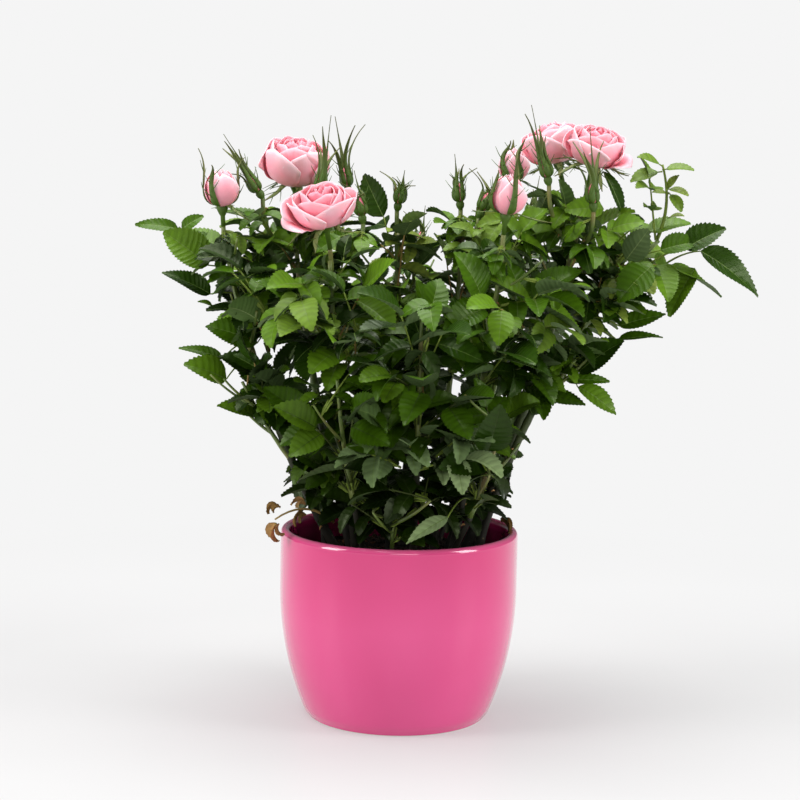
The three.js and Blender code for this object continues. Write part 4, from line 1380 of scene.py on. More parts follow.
# Withered leaflets at the foot: root, tip, length, look.
WITHERED = (
    ((-70, -28, 128), (-80, -32, 137), 9, DEAD_AT),
    ((-56, -30, 124), (-66, -40, 129), 10, DEAD_AT),
    ((-71, -30, 119), (-79, -36, 108), 13, DEAD_PALE_AT),
    ((-56, -18, 128), (-62, -20, 137), 9, DEAD_PALE_AT),
    ((60, 4, 116), (70, -8, 121), 11, DEAD_AT),
    ((26, -48, 104), (33, -58, 106), 10, DEAD_AT),
)
WITHERED_STALK = ((-38, -20, 118), (-54, -26, 134), (-72, -30, 121))
# A young shoot at the right: a stem and, for each leaflet, its root, its tip and its look.
SPRIG_STEM = ((147, 8, 284), (156, 8, 304), (149, 8, 328))
SPRIG = (
    ((149, 8, 327), (134, 0, 336), 4), ((149, 8, 324), (128, 2, 321), 4),
    ((149, 8, 325), (168, 2, 329), 4), ((152, 8, 314), (165, 0, 313), 5),
    ((153, 8, 312), (162, 0, 302), 4), ((153, 8, 311), (143, 6, 314), 5),
    ((152, 8, 313), (157, 4, 324), 5), ((153, 8, 297), (162, 2, 301), 5),
)

# Leaflets that stand out of the crown's sides: root, tip, look, width as a share of the length.
LEFT_CENTRE, RIGHT_CENTRE = (-60, 0, 250), (80, 0, 250)
STANDING_LEFT = (
    ((-131, -8, 286), (-154, -14, 292), 2, 0.4), ((-113, -14, 266), (-136, -20, 286), 3, 0.76),
    ((-109, -4, 274), (-123, -8, 287), 2, 0.66), ((-129, -6, 286), (-118, -8, 295), 2, 0.66),
    ((-93, -26, 272), (-118, -34, 275), 0, 0.42), ((-112, -10, 249), (-137, -16, 264), 1, 0.5),
    ((-111, -8, 242), (-118, -12, 246), 3, 0.5), ((-84, -20, 222), (-110, -28, 236), 2, 0.62),
    ((-102, -14, 200), (-123, -24, 212), 3, 0.76), ((-105, -6, 211), (-128, -12, 221), 2, 0.34),
    ((-84, -14, 179), (-104, -22, 189), 3, 0.64), ((-81, -14, 192), (-92, -20, 196), 2, 0.6),
    ((-75, -10, 173), (-83, -14, 178), 3, 0.62),
)
STANDING_RIGHT = (
    ((162, -6, 280), (182, -12, 295), 1, 0.7), ((171, -6, 279), (208, -14, 260), 1, 0.48),
    ((168, -8, 269), (151, -14, 244), 3, 0.62), ((125, -10, 235), (149, -18, 245), 2, 0.44),
    ((140, -30, 271), (120, -38, 255), 2, 0.8), ((102, -14, 208), (123, -22, 230), 1, 0.7),
    ((102, -10, 199), (126, -18, 189), 3, 0.5), ((95, -14, 203), (118, -22, 207), 2, 0.34),
    ((125, -4, 226), (149, -10, 233), 2, 0.34), ((113, -20, 303), (92, -28, 305), 3, 0.62),
    ((113, -10, 324), (128, -14, 301), 1, 0.34), ((148, -6, 279), (168, -10, 287), 2, 0.7),
    ((138, -8, 296), (118, -12, 293), 1, 0.55),
)


def add_standing(shape, leaflets, centre, random):
    """Leaflets that stand out of the crown, each on a stalk from the side of the crown's centre."""
    for root, tip, look, width in leaflets:
        start = vec(root) + 22 * unit(vec(centre) - vec(root)) + vec((0, 6, -3))
        middle = (start + vec(root)) / 2 + vec((0, 0, 4))
        stalk_tube(shape, Curve(start, middle, vec(root)), 0.7, 0.4, 5, STALK_AT)
        size = distance(vec(root), vec(tip))
        fold, bend = 0.2 + 0.3 * random(), 0.3 + 0.3 * random()
        curl = (fold, bend, 0.5 * (random() - 0.5), 0.6, 6 * random())
        face = unit(0.8 * UP + (0.3 + 0.9 * random()) * FRONT)
        leaflet = loose_leaflet(root, tip, 1.03 * size, face)
        blade(shape, leaflet, curl, look, UNDER_AT + 1, 1.05 * width)


def loose_leaflet(root, tip, length, face=UP):
    """A leaflet that was not grown by the rule."""
    direction = unit(vec(tip) - vec(root))
    side = unit(cross(face, direction))
    return {
        "root": vec(root), "direction": direction, "side": side, "length": length,
        "normal": cross(direction, side),
    }


def add_front_details(shape, random):
    """The leaves low in front, the withered leaflets and the leaf that droops over the rim."""
    for origin, tip, length, look in FRONT_LEAVES:
        made = make_leaf(vec(origin), vec(tip), length, 0)
        leaf_mesh(shape, made, by_name["low_front"], random, look)
    for root, tip, length, look in WITHERED:
        leaflet = loose_leaflet(root, tip, length)
        for _ in range(2):
            curl = (0.9, 1.6 + 1.2 * random(), 1.6 * (random() - 0.5), 2.5, 6 * random())
            blade(shape, leaflet, curl, look, look)
            beside = leaflet["root"] + 3 * leaflet["side"]
            leaflet = {**leaflet, "root": beside, "length": 0.7 * length}
    stalk_tube(shape, Curve(*map(vec, WITHERED_STALK)), 0.9, 0.5, 6, TAN_AT, rings=10)
    root = DROOPING["stalk"][2]
    stalk_tube(shape, Curve(*map(vec, DROOPING["stalk"])), 0.7, 0.45, 6, STALK_AT, rings=10)
    leaflet = loose_leaflet(root, DROOPING["tip"], 29, unit(UP + 0.8 * FRONT))
    blade(shape, leaflet, (0.3, 0.35, 0.2, 0.6, 1.0), UNDER_AT + 2, UNDER_AT, 0.38)


def add_sprig(shape, random):
    """The young shoot at the right."""
    stalk_tube(shape, Curve(*map(vec, SPRIG_STEM)), 1.2, 0.6, 8, STALK_AT, rings=14)
    for root, tip, look in SPRIG:
        size = distance(vec(root), vec(tip))
        curl = (0.25, 0.5, 0.3 * (random() - 0.5), 0.5, 6 * random())
        start = vec(root) + 0.12 * (vec(tip) - vec(root))
        curve = Curve(vec(root), (vec(root) + start) / 2, start)
        stalk_tube(shape, curve, 0.5, 0.4, 5, STALK_AT, rings=3)
        face = unit(UP + 0.5 * FRONT)
        blade(shape, loose_leaflet(start, tip, 0.8 * size, face), curl, look, UNDER_AT + 1)


for side_name, names in SIDES.items():
    leaves = Shape()
    for name in names:
        mass = by_name[name]
        draws = random_series(seed_of(mass, "leaf_shapes"))
        for number, leaf in enumerate(mass["leaves"]):
            size = LEAF_SCALE["coarse" if number < mass["coarse"] else "fine"]
            young = YOUNG_LOOK if leaf["curve"].end[2] > YOUNG_HEIGHT else None
            leaf_mesh(leaves, leaf, mass, draws, young, size)
    if side_name == "front":
        add_front_details(leaves, random_series(SEEDS["front_details"]))
    if side_name == "right":
        add_sprig(leaves, random_series(SEEDS["sprig"]))
        draws = random_series(SEEDS["standing_right"])
        add_standing(leaves, STANDING_RIGHT, RIGHT_CENTRE, draws)
    if side_name == "left":
        add_standing(leaves, STANDING_LEFT, LEFT_CENTRE, random_series(SEEDS["standing_left"]))
    nodes = [f"foliage_{name}" for name in names]
    add_piece(f"leaves_{side_name}", leaves, LEAF_LOOKS, "foliage", *nodes)

# ---- Canes, stems and twigs -------------------------------------------------------------------


BARK_AT, PRICKLE_AT = 0, 1


def add_prickles(shape, curve, start, end, radius_at, spacing, size, random):
    """Short hooked prickles between two shares of a limb, which lean down."""
    count = int(curve.length * (end - start) / spacing)
    for i in range(count):
        share = start + (end - start) * (i + random()) / count
        side, other = perpendicular(curve.tangent(share))
        turn = FULL_TURN * random()
        out = math.cos(turn) * side + math.sin(turn) * other
        place = curve.point(share) + radius_at(share) * out
        tip = place + size * out - 0.45 * size * UP
        path = [place - 0.4 * size * out, place + 0.35 * size * out, tip]
        tube(shape, path, [0.34 * size, 0.2 * size, 0.03 * size], 5, PRICKLE_AT)


def cane_relief(rings, sides, length, random):
    """Ridges, leaf scars and knots in a cane's bark, as factors of its radius."""
    turn = angles_around(sides)
    height = np.linspace(0, length, rings)[:, None]
    relief = np.ones((rings, sides))
    for order in (2, 3, 5):
        phase, pitch = 6.3 * random(), 0.03 + 0.05 * random()
        relief += 0.028 * np.sin(order * turn + phase + pitch * height)
    knot = 6 + 8 * random()
    while knot < length:
        around = FULL_TURN * random()
        ring = np.exp(-(((height - knot) / 1.3) ** 2))
        relief += ring * (0.1 + 0.2 * np.maximum(0, np.cos(turn - around)) ** 4)
        knot += 16 + 14 * random()
    roughness = 0.035 * np.exp(-height / 40) + 0.01
    relief += roughness * np.array([[2 * random() - 1 for _ in range(sides)] for _ in range(rings)])
    return relief


CANE_SIDES, RING_SPACING = 12, 1.6

canes = Shape()
caned = [mass for mass in masses if mass["enters"] > 0]
for mass in caned:
    draws = random_series(seed_of(mass, "canes"))
    length = mass["curve"].length * mass["enters"]
    rings = max(12, int(length / RING_SPACING))
    shares = np.linspace(0, mass["enters"], rings)
    points = mass["curve"].points(shares)
    points[0, 2] -= 4 * CLEARANCE
    relief = cane_relief(rings, CANE_SIDES, length, draws)
    radii = [mass["radius_at"](share) for share in shares]
    tube(canes, points, radii, CANE_SIDES, BARK_AT, relief)
    add_prickles(canes, mass["curve"], 0.05, mass["enters"], mass["radius_at"], 24, 2.6, draws)
cane_nodes = [f"cane_{mass['name']}" for mass in caned]
add_piece("canes", canes, [bark_look(), PRICKLE], "bark", *cane_nodes)

twigs = Shape()
for mass in masses:
    draws = random_series(seed_of(mass, "stems"))
    curve, enters = mass["curve"], mass["enters"]
    rings = max(8, int(curve.length * (1 - enters) / 5))
    shares = np.linspace(enters, 1, rings)
    swell = [1 + 0.12 * (i % 4 == 2) for i in range(rings)]
    radii = [mass["radius_at"](share) * s for share, s in zip(shares, swell)]
    tube(twigs, curve.points(shares), radii, 9)
    add_prickles(twigs, curve, enters, 0.9, mass["radius_at"], 26, 2.2, draws)
    for each in mass["twigs"]:
        stalk_tube(twigs, each, 1.3, 0.85, 7, BARK_AT, rings=9)
    for each in mass["fine_twigs"]:
        stalk_tube(twigs, each, 1.0, 0.6, 6, BARK_AT, rings=9)
    for each in mass["flower_twigs"]:
        stalk_tube(twigs, each, 1.35, 1.3, 8, BARK_AT, rings=12)
        add_prickles(twigs, each, 0.2, 0.9, lambda share: 1.3, 22, 1.6, draws)
twig_nodes = [f"foliage_{mass['name']}" for mass in masses]
add_piece("twigs", twigs, [GREEN_STEM, PRICKLE], "foliage", *twig_nodes)

# ---- Flowers ----------------------------------------------------------------------------------

SEPALS = 5
SEPAL_LOOKS = (0, 1)
SEPAL_THICKNESS, PETAL_THICKNESS = 0.4, 0.32
BUD_HIP = [(0.9, -1.2), (1.3, 0), (2.3, 1.6), (2.6, 3.2), (2.0, 4.8), (1.5, 5.4)]
BUD_CORE = [(1.4, 4.6), (2.9, 6.4), (3.4, 8.6), (2.9, 11.5), (1.7, 14), (0.4, 16)]
CORE_LOOK = 2
# The angle from one petal of a spiral to the next.
GOLDEN_ANGLE = math.radians(137.5)
ROSE_PETALS, BUD_PETALS = 21, 9
DROOPING_PETAL = [(0.1, -0.04), (0.7, -0.08), (1.02, 0.22), (1.2, 0.55), (1.3, 0.2)]


class Stand:
    """A flower's own frame: its foot, its axis and two directions across."""

    def __init__(self, foot, axis, turn=0.0):
        self.foot, self.axis = foot, unit(axis)
        side, other = perpendicular(self.axis)
        self.side = math.cos(turn) * side + math.sin(turn) * other
        self.other = cross(self.axis, self.side)

    def at(self, radius, angle, height):
        """Places at a distance from the axis, an angle around it and a height along it."""
        radius, angle, height = np.broadcast_arrays(radius, angle, height)
        return (
            self.foot
            + (radius * np.cos(angle))[..., None] * self.side
            + (radius * np.sin(angle))[..., None] * self.other
            + height[..., None] * self.axis
        )


def turned_body(shape, stand, profile, sides, look=0):
    """A round closed body about a flower's axis from (radius, height) pairs."""
    profile = np.array(profile, float)
    centres = stand.foot + profile[:, 1:] * stand.axis
    tube(shape, centres, profile[:, 0], sides, look)


def sepal_blade(shape, stand, turn, path, width, random, lobes, bow):
    """A long pointed sepal along a path of (radius, height) points, with thread-like side lobes."""
    outer, inner = SEPAL_LOOKS
    shares = np.linspace(0, 1, 16)
    radius, height = bezier(path, shares).T
    half = width / 2 * np.sin(math.pi * np.clip(1.7 * shares, 0, 0.5)) * (1 - shares) ** 1.15
    half = half + 0.09 * width * np.exp(-(((shares - 0.75) / 0.13) ** 2)) + 0.16
    across = np.array([-1, 0, 1])
    angle = turn + across * (half / np.maximum(radius, 1.6))[:, None]
    cup = 0.3 * half[:, None] * (1 - np.abs(across))
    grid = stand.at(radius[:, None] + cup, angle, height[:, None] + 0 * across)
    sideways = -math.sin(turn) * stand.side + math.cos(turn) * stand.other
    bend = np.sin(1.5 * math.pi * np.clip((shares - 0.35) / 0.65, 0, 1)) * shares
    grid = grid + (bow * bend)[:, None, None] * sideways
    fade = np.repeat(shares[:, None], len(across), axis=1)
    shell(shape, grid, SEPAL_THICKNESS, outer, inner, fade)
    for lobe in range(lobes):
        i = 5 + (2 * lobe) % 7
        hand = 1 if lobe % 2 else -1
        start = grid[i, 1]
        forward = unit(grid[i + 1, 1] - grid[i, 1])
        across_way = unit(grid[i, 2] - grid[i, 0]) * hand
        size = width * (0.7 + 0.8 * random())
        bend = start + 0.5 * size * (0.7 * across_way + 0.5 * forward)
        end = start + size * (0.8 * across_way + 0.9 * forward)
        stalk_tube(shape, Curve(start, bend, end), 0.42, 0.14, 3, outer, rings=5)


def green_bud(shape, base, tip, random):
    """A closed bud: a hip, petals just showing, and clasping sepals that end in long tips."""
    stand = Stand(base, tip - base, 6.3 * random())
    reach = distance(base, tip)
    turned_body(shape, stand, BUD_HIP, 10)
    turned_body(shape, stand, BUD_CORE, 12, CORE_LOOK)
    for i in range(SEPALS):
        turn = FULL_TURN * i / SEPALS
        top = reach if i == 0 else max(reach * (0.5 + 0.42 * random()), 17)
        lean = 0.3 if i == 0 else 4 + 14 * random() ** 1.5
        bow = 0 if i == 0 else 7 * (random() - 0.5)
        path = [
            (1.5, 4.6), (5.4, 6.4), (4.0, 12), (0.9, 15.5), (0.2 * lean, 0.62 * top + 5),
            (lean, top),
        ]
        sepal_blade(shape, stand, turn, path, 5.8, random, 3 if i < 3 else 1, bow)


def calyx(shape, stand, stalk, size, form, random):
    """The stalk's end, the hip and the sepals under the petals."""
    hip = ROSE["hip_radius"]
    profile = [
        (1.3, -0.6), (1.35, stalk - 6.5), (2.1, stalk - 5.2), (hip - 0.3, stalk - 3),
        (hip, stalk - 1.4), (hip - 0.5, stalk), (2.0, stalk + 0.6),
    ]
    turned_body(shape, stand, profile, 14)
    for i in range(SEPALS):
        turn = FULL_TURN * i / SEPALS + 0.3 * (random() - 0.5)
        length = 17 + 10 * random()
        bow = 8 * (random() - 0.5)
        if form == "open" or i in (1, 3):
            droop = random()
            path = [
                (hip - 0.8, stalk - 0.4), (hip + 3.5, stalk + 0.6),
                (0.55 * size, stalk - 1.5 * droop), (length * 0.75, stalk - 3 - 5 * droop),
                (length, stalk - 2 - 12 * droop),
            ]
        else:
            top = stalk + size * 2.4 + 12 * random()
            path = [
                (hip - 0.8, stalk - 0.4), (1.4 * size, stalk), (1.45 * size, stalk + 1.2 * size),
                (0.6 * size, stalk + 2.1 * size), (1.5 * size * (0.4 + random()), top),
            ]
        sepal_blade(shape, stand, turn, path, 6.2, random, 4, bow)


def petal(shape, stand, turn, profile, spread, size, look, random, ragged=1.0, point=0.14):
    """One petal: a thin cupped sheet round part of the flower, with a pointed and waved edge.

    Its profile is in shares of the flower's size, and spread is half the angle that it covers.
    """
    u = np.linspace(-1, 1, 15)[None, :]
    v = np.linspace(0, 1, 12)[:, None]
    lean = 0.06 * (random() - 0.5)
    side = np.abs(u)
    reach = v * (1 - point * side**1.1 - 0.13 * side**3.5 + lean * u)
    curve = bezier(profile, reach)
    radius, height = curve[..., 0] * size, curve[..., 1] * size
    narrow = 0.45 + 0.55 * np.sin(0.5 * math.pi * np.clip(v * 1.4, 0, 1))
    angle = turn + spread * u * narrow
    lip = smooth(np.clip((v - 0.7) / 0.3, 0, 1))
    first, second = 6.3 * random(), 6.3 * random()
    ripple = 0.05 * ragged * size * (np.sin(2.6 * u + first) + 0.4 * np.sin(6 * u + second)) * v**2
    radius = radius * (1 + 0.045 * u) + ripple
    radius = radius + ragged * lip * (0.09 * side**2 + 0.03) * size
    height = height - ragged * lip * 0.05 * size * side**2 + 0.5 * ripple
    grid = stand.at(np.maximum(radius, 0.3), angle, height)
    fade = np.clip(v**1.2 * (0.82 + 0.18 * side), 0, 1)
    shell(shape, grid, PETAL_THICKNESS, look, None, fade)


def open_rose(shape, stand, size, openness, drooping, random):
    """Petals in a spiral: a tight heart, cupped ones round it and turned-out ones outside."""
    for i in range(ROSE_PETALS):
        k = i / (ROSE_PETALS - 1)
        turn = i * GOLDEN_ANGLE + 0.3 * (random() - 0.5)
        bulge = (0.15 + 0.85 * k**0.9) * (0.97 + 0.06 * random())
        top_radius = 0.05 + k**1.1 * (0.52 + 0.62 * openness)
        tall = 1.44 - 0.3 * openness - k**1.6 * (0.12 + 0.4 * openness) + 0.08 * (random() - 0.5)
        profile = [
            (0.08, 0.0), (0.3 + 0.55 * k, -0.04), (1.12 * bulge, 0.34 + 0.1 * (1 - k)),
            (1.02 * bulge, 0.78 * tall), (top_radius, tall),
        ]
        look = 0 if k < 0.3 else (1 if k < 0.72 else 2)
        petal(shape, stand, turn, profile, 1.5 - 0.5 * k, size, look, random, 0.7 + 0.9 * k)
    for turn in drooping:
        petal(shape, stand, turn, DROOPING_PETAL, 0.75, size, 2, random, 0.8)


def pink_bud(shape, stand, size, random):
    """Petals wrapped tightly round one another into a pointed egg."""
    for i in range(BUD_PETALS):
        k = i / (BUD_PETALS - 1)
        turn = i * GOLDEN_ANGLE
        profile = [
            (0.1, 0.0), (0.75 + 0.35 * k, 0.05), (0.85 + 0.55 * k, 1.05), (0.6 + 0.38 * k, 1.85),
            (0.1 + 0.36 * k, 2.4 - 0.26 * k),
        ]
        petal(shape, stand, turn, profile, 1.3 - 0.4 * k, size, (1, 2, 2)[i % 3], random, 0.8, 0.3)


# How each bloom is turned about its axis, how far it stands up from its solid, which way it faces,
# how open it is, how large its petals are, and where its drooping outer petals are.
BLOOMS = {
    "rose_left_high": (0.4, 4, (0.06, -0.3, 1), 0.35, 0.98, ()),
    "rose_left_low": (1.0, 4.5, (-0.16, -0.42, 1), 0.7, 0.92, (-1.25,)),
    "rose_right_front": (0.2, 8, (0.16, -0.32, 1), 0.6, 0.87, (1.35,)),
    "rose_right_back": (0.0, 7, (-0.26, -0.05, 1), 0.4, 1.0, ()),
    "bud_left": (-0.45, 0, (-0.05, -0.1, 1), 0, 1, ()),
    "bud_right_low": (0.2, 0, (0.08, -0.1, 1), 0, 1, ()),
    "bud_right_high": (0.6, 0, (0, 0, 1), 0, 1, ()),
}

# How far the petals start below the top of the hip.
PETALS_SUNK = 0.8
GREENS = [SEPAL, SEPAL_INNER]

buds = Shape()
bud_nodes = []
for mass in masses:
    draws = random_series(seed_of(mass, "flowers"))
    for base, tip in mass["buds"]:
        green_bud(buds, vec(base), vec(tip), draws)
    if mass["buds"]:
        bud_nodes.append(f"foliage_{mass['name']}")
    for each in mass["roses"]:
        turn, lift, faces, openness, wide, drooping = BLOOMS[each["name"]]
        stalk = ROSE["stalk"] + lift
        stand = Stand(vec(each["at"]), vec(faces), turn)
        stand.foot = stand.foot + CLEARANCE * stand.axis
        heart = Stand(stand.foot + (stalk - PETALS_SUNK) * stand.axis, stand.axis)
        petals, green = Shape(), Shape()
        calyx(green, stand, stalk, each["size"], each["form"], draws)
        if each["form"] == "open":
            open_rose(petals, heart, wide * each["size"], openness, drooping, draws)
        else:
            pink_bud(petals, heart, each["size"], draws)
        add_piece(f"petals_of_{each['name']}", petals, PETALS, "petals", each["name"])
        add_piece(f"calyx_of_{each['name']}", green, GREENS, "foliage", each["name"])
add_piece("green_buds", buds, [*GREENS, PETALS[1]], "foliage", *bud_nodes)

# ---- The pot and its compost ------------------------------------------------------------------

GLAZE, CLAY, SHADOW = 0, 1, 2
POT_SIDES = 144


def pot_radius_at(height):
    """The pot's outer radius: straight above its belly, and drawn in to its base below."""
    drop = np.maximum(0, 1 - height / POT["belly"])
    return POT["rim"] - (POT["rim"] - POT["base"]) * drop ** POT["draw"]


def turned_points(profile, sides):
    """A grid of points turned about +Z from (radius, height) pairs."""
    profile = np.array(profile, float)
    turn = angles_around(sides)
    return np.stack([
        profile[:, :1] * np.cos(turn), profile[:, :1] * np.sin(turn), profile[:, 1:] + 0 * turn
    ], -1)


def pot_profile():
    """The pot's section from the middle of its foot to the middle of its floor, and its looks."""
    wall, height, base = POT["wall"], POT["height"], POT["base"]
    foot = [(0.01, 1.2), (base - 9, 1.2), (base - 7.5, 0.9), (base - 6.6, 0.1), (base - 3.4, 0)]
    corner = [
        (base - 2.4 + 2.4 * math.sin(a), 2.6 - 2.6 * math.cos(a)) for a in np.linspace(0.2, 1.4, 5)
    ]
    outer = [(pot_radius_at(z), z) for z in np.linspace(3.4, height - wall / 2, 30)]
    lip = [
        (POT["rim"] - wall / 2 + wall / 2 * math.cos(a), height - wall / 2 + wall / 2 * math.sin(a))
        for a in np.linspace(0.2, math.pi - 0.2, 11)
    ]
    inner = [(pot_radius_at(z) - wall, z) for z in np.linspace(height - wall / 2, 14, 16)]
    bottom = [(base - wall - 1, 9), (base - wall - 5, POT["floor"]), (0.01, POT["floor"])]
    profile = [*foot, *corner, *outer, *lip, *inner, *bottom]
    mouth = len([*foot, *corner, *outer, *lip]) - 3
    looks = [
        CLAY if i < len(foot) + 1 else (SHADOW if i > mouth else GLAZE)
        for i in range(len(profile) - 1)
    ]
    return profile, looks


profile, ring_looks = pot_profile()
pot = Shape()
pot.add(
    turned_points(profile, POT_SIDES).reshape(-1, 3),
    grid_faces(len(profile), POT_SIDES, closed=True), np.repeat(ring_looks, POT_SIDES),
)
# The third look is the glaze with painted shade inside the mouth.
POT_LOOKS = [
    glaze_look("pink_glaze", 1.0, 1.0), clay_look(), glaze_look("shaded_glaze", 0.16, 0.42),
]
add_piece("glazed_pot", pot, POT_LOOKS, "glaze", "pot")

WAVES = 14
GROUND = {"rings": 46, "sides": 120, "rise": 0.6, "waves": 2.4, "sink": 1.2, "sink_radius": 64}
LUMPS = {"count": 1500, "reach": 63, "size": 0.6, "spread": 1.5}
# One lump in so many has the look of bark or of grit.
BARK_EVERY, GRIT_EVERY = 5, 29


def soft_noise(x, y):
    """Low rolling heights over the compost."""
    draw = random_series(SEEDS["ground"])
    total = 0 * x
    for _ in range(WAVES):
        size = 0.06 + 0.5 * draw() ** 2
        turn, phase = 6.3 * draw(), 6.3 * draw()
        total = total + np.sin(size * (math.cos(turn) * x + math.sin(turn) * y) + phase)
    return total / WAVES


def compost_height(x, y):
    """The top of the compost, which sinks a little towards the pot's wall."""
    sunk = GROUND["sink"] * (np.hypot(x, y) / GROUND["sink_radius"]) ** 4
    return SOIL_TOP + GROUND["rise"] + GROUND["waves"] * soft_noise(x, y) - sunk


compost = Shape()
ring_radii = np.linspace(0.01, POT["rim"] - POT["wall"] - 0.4, GROUND["rings"])
ground = turned_points([(radius, 0) for radius in ring_radii], GROUND["sides"])
ground[..., 2] = compost_height(ground[..., 0], ground[..., 1])
bottom = POT["floor"] + CLEARANCE
skirt = [(pot_radius_at(z) - POT["wall"] - 0.5, z) for z in (80, 50, 13, bottom)]
ground = np.concatenate([ground, turned_points([*skirt, (0.01, bottom)], GROUND["sides"])])
compost.add(ground.reshape(-1, 3), grid_faces(len(ground), GROUND["sides"], closed=True))

LUMP = np.array([[1, 0, 0], [-1, 0, 0], [0, 1, 0], [0, -1, 0], [0, 0, 1], [0, 0, -1]], float)
LUMP_FACES = np.array([
    [0, 2, 4], [2, 1, 4], [1, 3, 4], [3, 0, 4], [2, 0, 5], [1, 2, 5], [3, 1, 5], [0, 3, 5]
])
draws = random_series(SEEDS["lumps"])
for number in range(LUMPS["count"]):
    away, turn = LUMPS["reach"] * math.sqrt(draws()), 6.283 * draws()
    x, y = away * math.cos(turn), away * math.sin(turn)
    size = LUMPS["size"] + LUMPS["spread"] * draws() ** 3
    stretch = np.array([0.7 + 0.8 * draws(), 0.7 + 0.8 * draws(), 0.6 + 0.4 * draws()])
    jitter = np.array([[0.4 * (draws() - 0.5) for _ in range(3)] for _ in range(6)])
    lump = (LUMP + jitter) * size * stretch
    place = np.array([x, y, float(compost_height(np.float64(x), np.float64(y))) + 0.3 * size])
    look = 2 if number % GRIT_EVERY == 0 else (1 if number % BARK_EVERY == 0 else 0)
    compost.add(lump + place, LUMP_FACES, look)
COMPOST_LOOKS = [
    compost_look("compost_dark", srgb(20, 14, 10), srgb(42, 30, 20)),
    compost_look("compost_bark", srgb(58, 38, 22), srgb(92, 62, 38)),
    compost_look("compost_grit", srgb(150, 140, 122), srgb(190, 182, 164)),
]
add_piece("compost_surface", compost, COMPOST_LOOKS, "compost", "compost")

# ---- The stage --------------------------------------------------------------------------------

BACKGROUND = srgb(245, 245, 245)
PAINTED_SHADE_GREY = srgb(233, 233, 233)
# In metres, the floor's dim band of painted shade from front to back, and the distances at which it
# starts and ends to fade and the floor's glow starts and ends to grow.
BAND_DEPTHS = (-0.24, 0.36)
BAND_ENDS = (0.3, 0.62)
GLOW_ENDS = (0.12, 0.62)
LEAST_GLOW = 0.46
# The floor's radius is in metres.
FLOOR_RADIUS, FLOOR_SIDES = 40, 96
WORLD_LIGHT = 0.17
PICTURE_WIDTH, SENSOR_WIDTH = 800, 36
FOCAL_LENGTH = 2236  # in pixels of the picture
CAMERA_HEIGHT, CAMERA_X = 360, -1.09  # in millimetres
CAMERA_ROLL = math.radians(1.1)


def floor_look():
    """A pale floor that takes shadows near the pot, has a painted band of shade across it, and
    shines as bright as the world far off.
    """
    look = Look("pale_floor", 0.42, specular=0.24)
    cloudy = look.noise(6, detail=2.0)
    look.colour(look.ramp(cloudy, (0.3, srgb(208, 207, 207)), (0.7, srgb(212, 211, 211))))
    glow = look.nodes.new("ShaderNodeEmission")
    # Painted shade: a dimmer grey band across the floor, fading out further away.
    depth = look.span(look.axis("Y"), *BAND_DEPTHS)
    band = look.ramp(depth, (0.0, BACKGROUND), (0.42, PAINTED_SHADE_GREY), (0.6, PAINTED_SHADE_GREY), (1.0, BACKGROUND))
    away = look.nodes.new("ShaderNodeVectorMath")
    away.operation = "LENGTH"
    look.links.new(look.place, away.inputs[0])
    band = look.mix(look.span(away.outputs["Value"], *BAND_ENDS), band, BACKGROUND)
    look.links.new(band, glow.inputs["Color"])
    far = look.span(away.outputs["Value"], *GLOW_ENDS, LEAST_GLOW, 1.0)
    blend = look.nodes.new("ShaderNodeMixShader")
    look.links.new(far, blend.inputs[0])
    look.links.new(look.surface.outputs[0], blend.inputs[1])
    look.links.new(glow.outputs[0], blend.inputs[2])
    output = look.nodes["Material Output"]
    look.links.new(blend.outputs[0], output.inputs["Surface"])
    return look.material


floor_mesh = bpy.data.meshes.new("floor")
floor_points = [
    (FLOOR_RADIUS * math.cos(turn), FLOOR_RADIUS * math.sin(turn), 0)
    for turn in angles_around(FLOOR_SIDES)
]
floor_mesh.from_pydata(floor_points, [], [list(range(FLOOR_SIDES))])
floor_mesh.materials.append(floor_look())
floor = bpy.data.objects.new("floor", floor_mesh)
bpy.context.scene.collection.objects.link(floor)

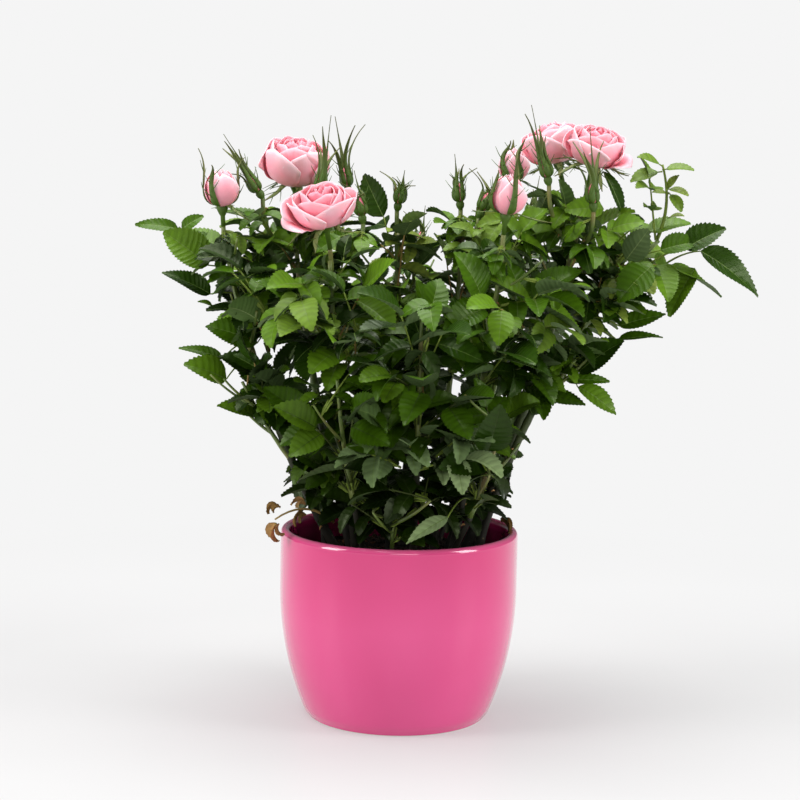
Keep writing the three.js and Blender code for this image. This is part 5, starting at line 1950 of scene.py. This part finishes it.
world = bpy.data.worlds.new("studio")
bpy.context.scene.world = world
world.use_nodes = True
tree = world.node_tree
lit = tree.nodes["Background"]
lit.inputs["Color"].default_value = WHITE
lit.inputs["Strength"].default_value = WORLD_LIGHT
seen = tree.nodes.new("ShaderNodeBackground")
seen.inputs["Color"].default_value = BACKGROUND
ray = tree.nodes.new("ShaderNodeLightPath")
either = tree.nodes.new("ShaderNodeMixShader")
tree.links.new(ray.outputs["Is Camera Ray"], either.inputs[0])
tree.links.new(lit.outputs[0], either.inputs[1])
tree.links.new(seen.outputs[0], either.inputs[2])
tree.links.new(either.outputs[0], tree.nodes["World Output"].inputs["Surface"])


def aim(thing, place, target, roll=0.0):
    """Puts an object at a place, looking at a target, both in millimetres."""
    forward = unit(vec(target) - vec(place))
    right = unit(cross(forward, UP))
    above = cross(right, forward)
    turned_right = math.cos(roll) * right + math.sin(roll) * above
    turned_up = -math.sin(roll) * right + math.cos(roll) * above
    thing.matrix_world = Matrix([
        [turned_right[i], turned_up[i], -forward[i], place[i] * MM] for i in range(3)
    ] + [[0, 0, 0, 1]])


def panel(name, place, target, width, height, power):
    """A soft white lamp, with its size in millimetres and its power in watts."""
    light = bpy.data.lights.new(name, "AREA")
    light.shape = "RECTANGLE"
    light.size, light.size_y = width * MM, height * MM
    light.energy = power
    made = bpy.data.objects.new(name, light)
    bpy.context.scene.collection.objects.link(made)
    aim(made, place, target)


# Each lamp's place, what it points at, its width, its height and its power.
panel("overhead", (-60, 100, 1500), (0, 0, 200), 1500, 1200, 34)
panel("left_window", (-1300, -500, 700), (0, 0, 180), 500, 1100, 14)
panel("right_window", (1300, -500, 700), (0, 0, 180), 500, 1100, 14)
panel("front_fill", (200, -1900, 900), (0, 0, 180), 900, 700, 6)

camera = bpy.data.cameras.new("camera")
camera.sensor_width = SENSOR_WIDTH
camera.lens = FOCAL_LENGTH / PICTURE_WIDTH * SENSOR_WIDTH
camera_object = bpy.data.objects.new("camera", camera)
bpy.context.scene.collection.objects.link(camera_object)
camera_place = (CAMERA_X, -EYE_DISTANCE, CAMERA_HEIGHT)
aim(camera_object, camera_place, (CAMERA_X, 0, EYE_HEIGHT), CAMERA_ROLL)
bpy.context.scene.camera = camera_object
bpy.context.scene.view_settings.view_transform = "Standard"

bpy.context.view_layer.update()
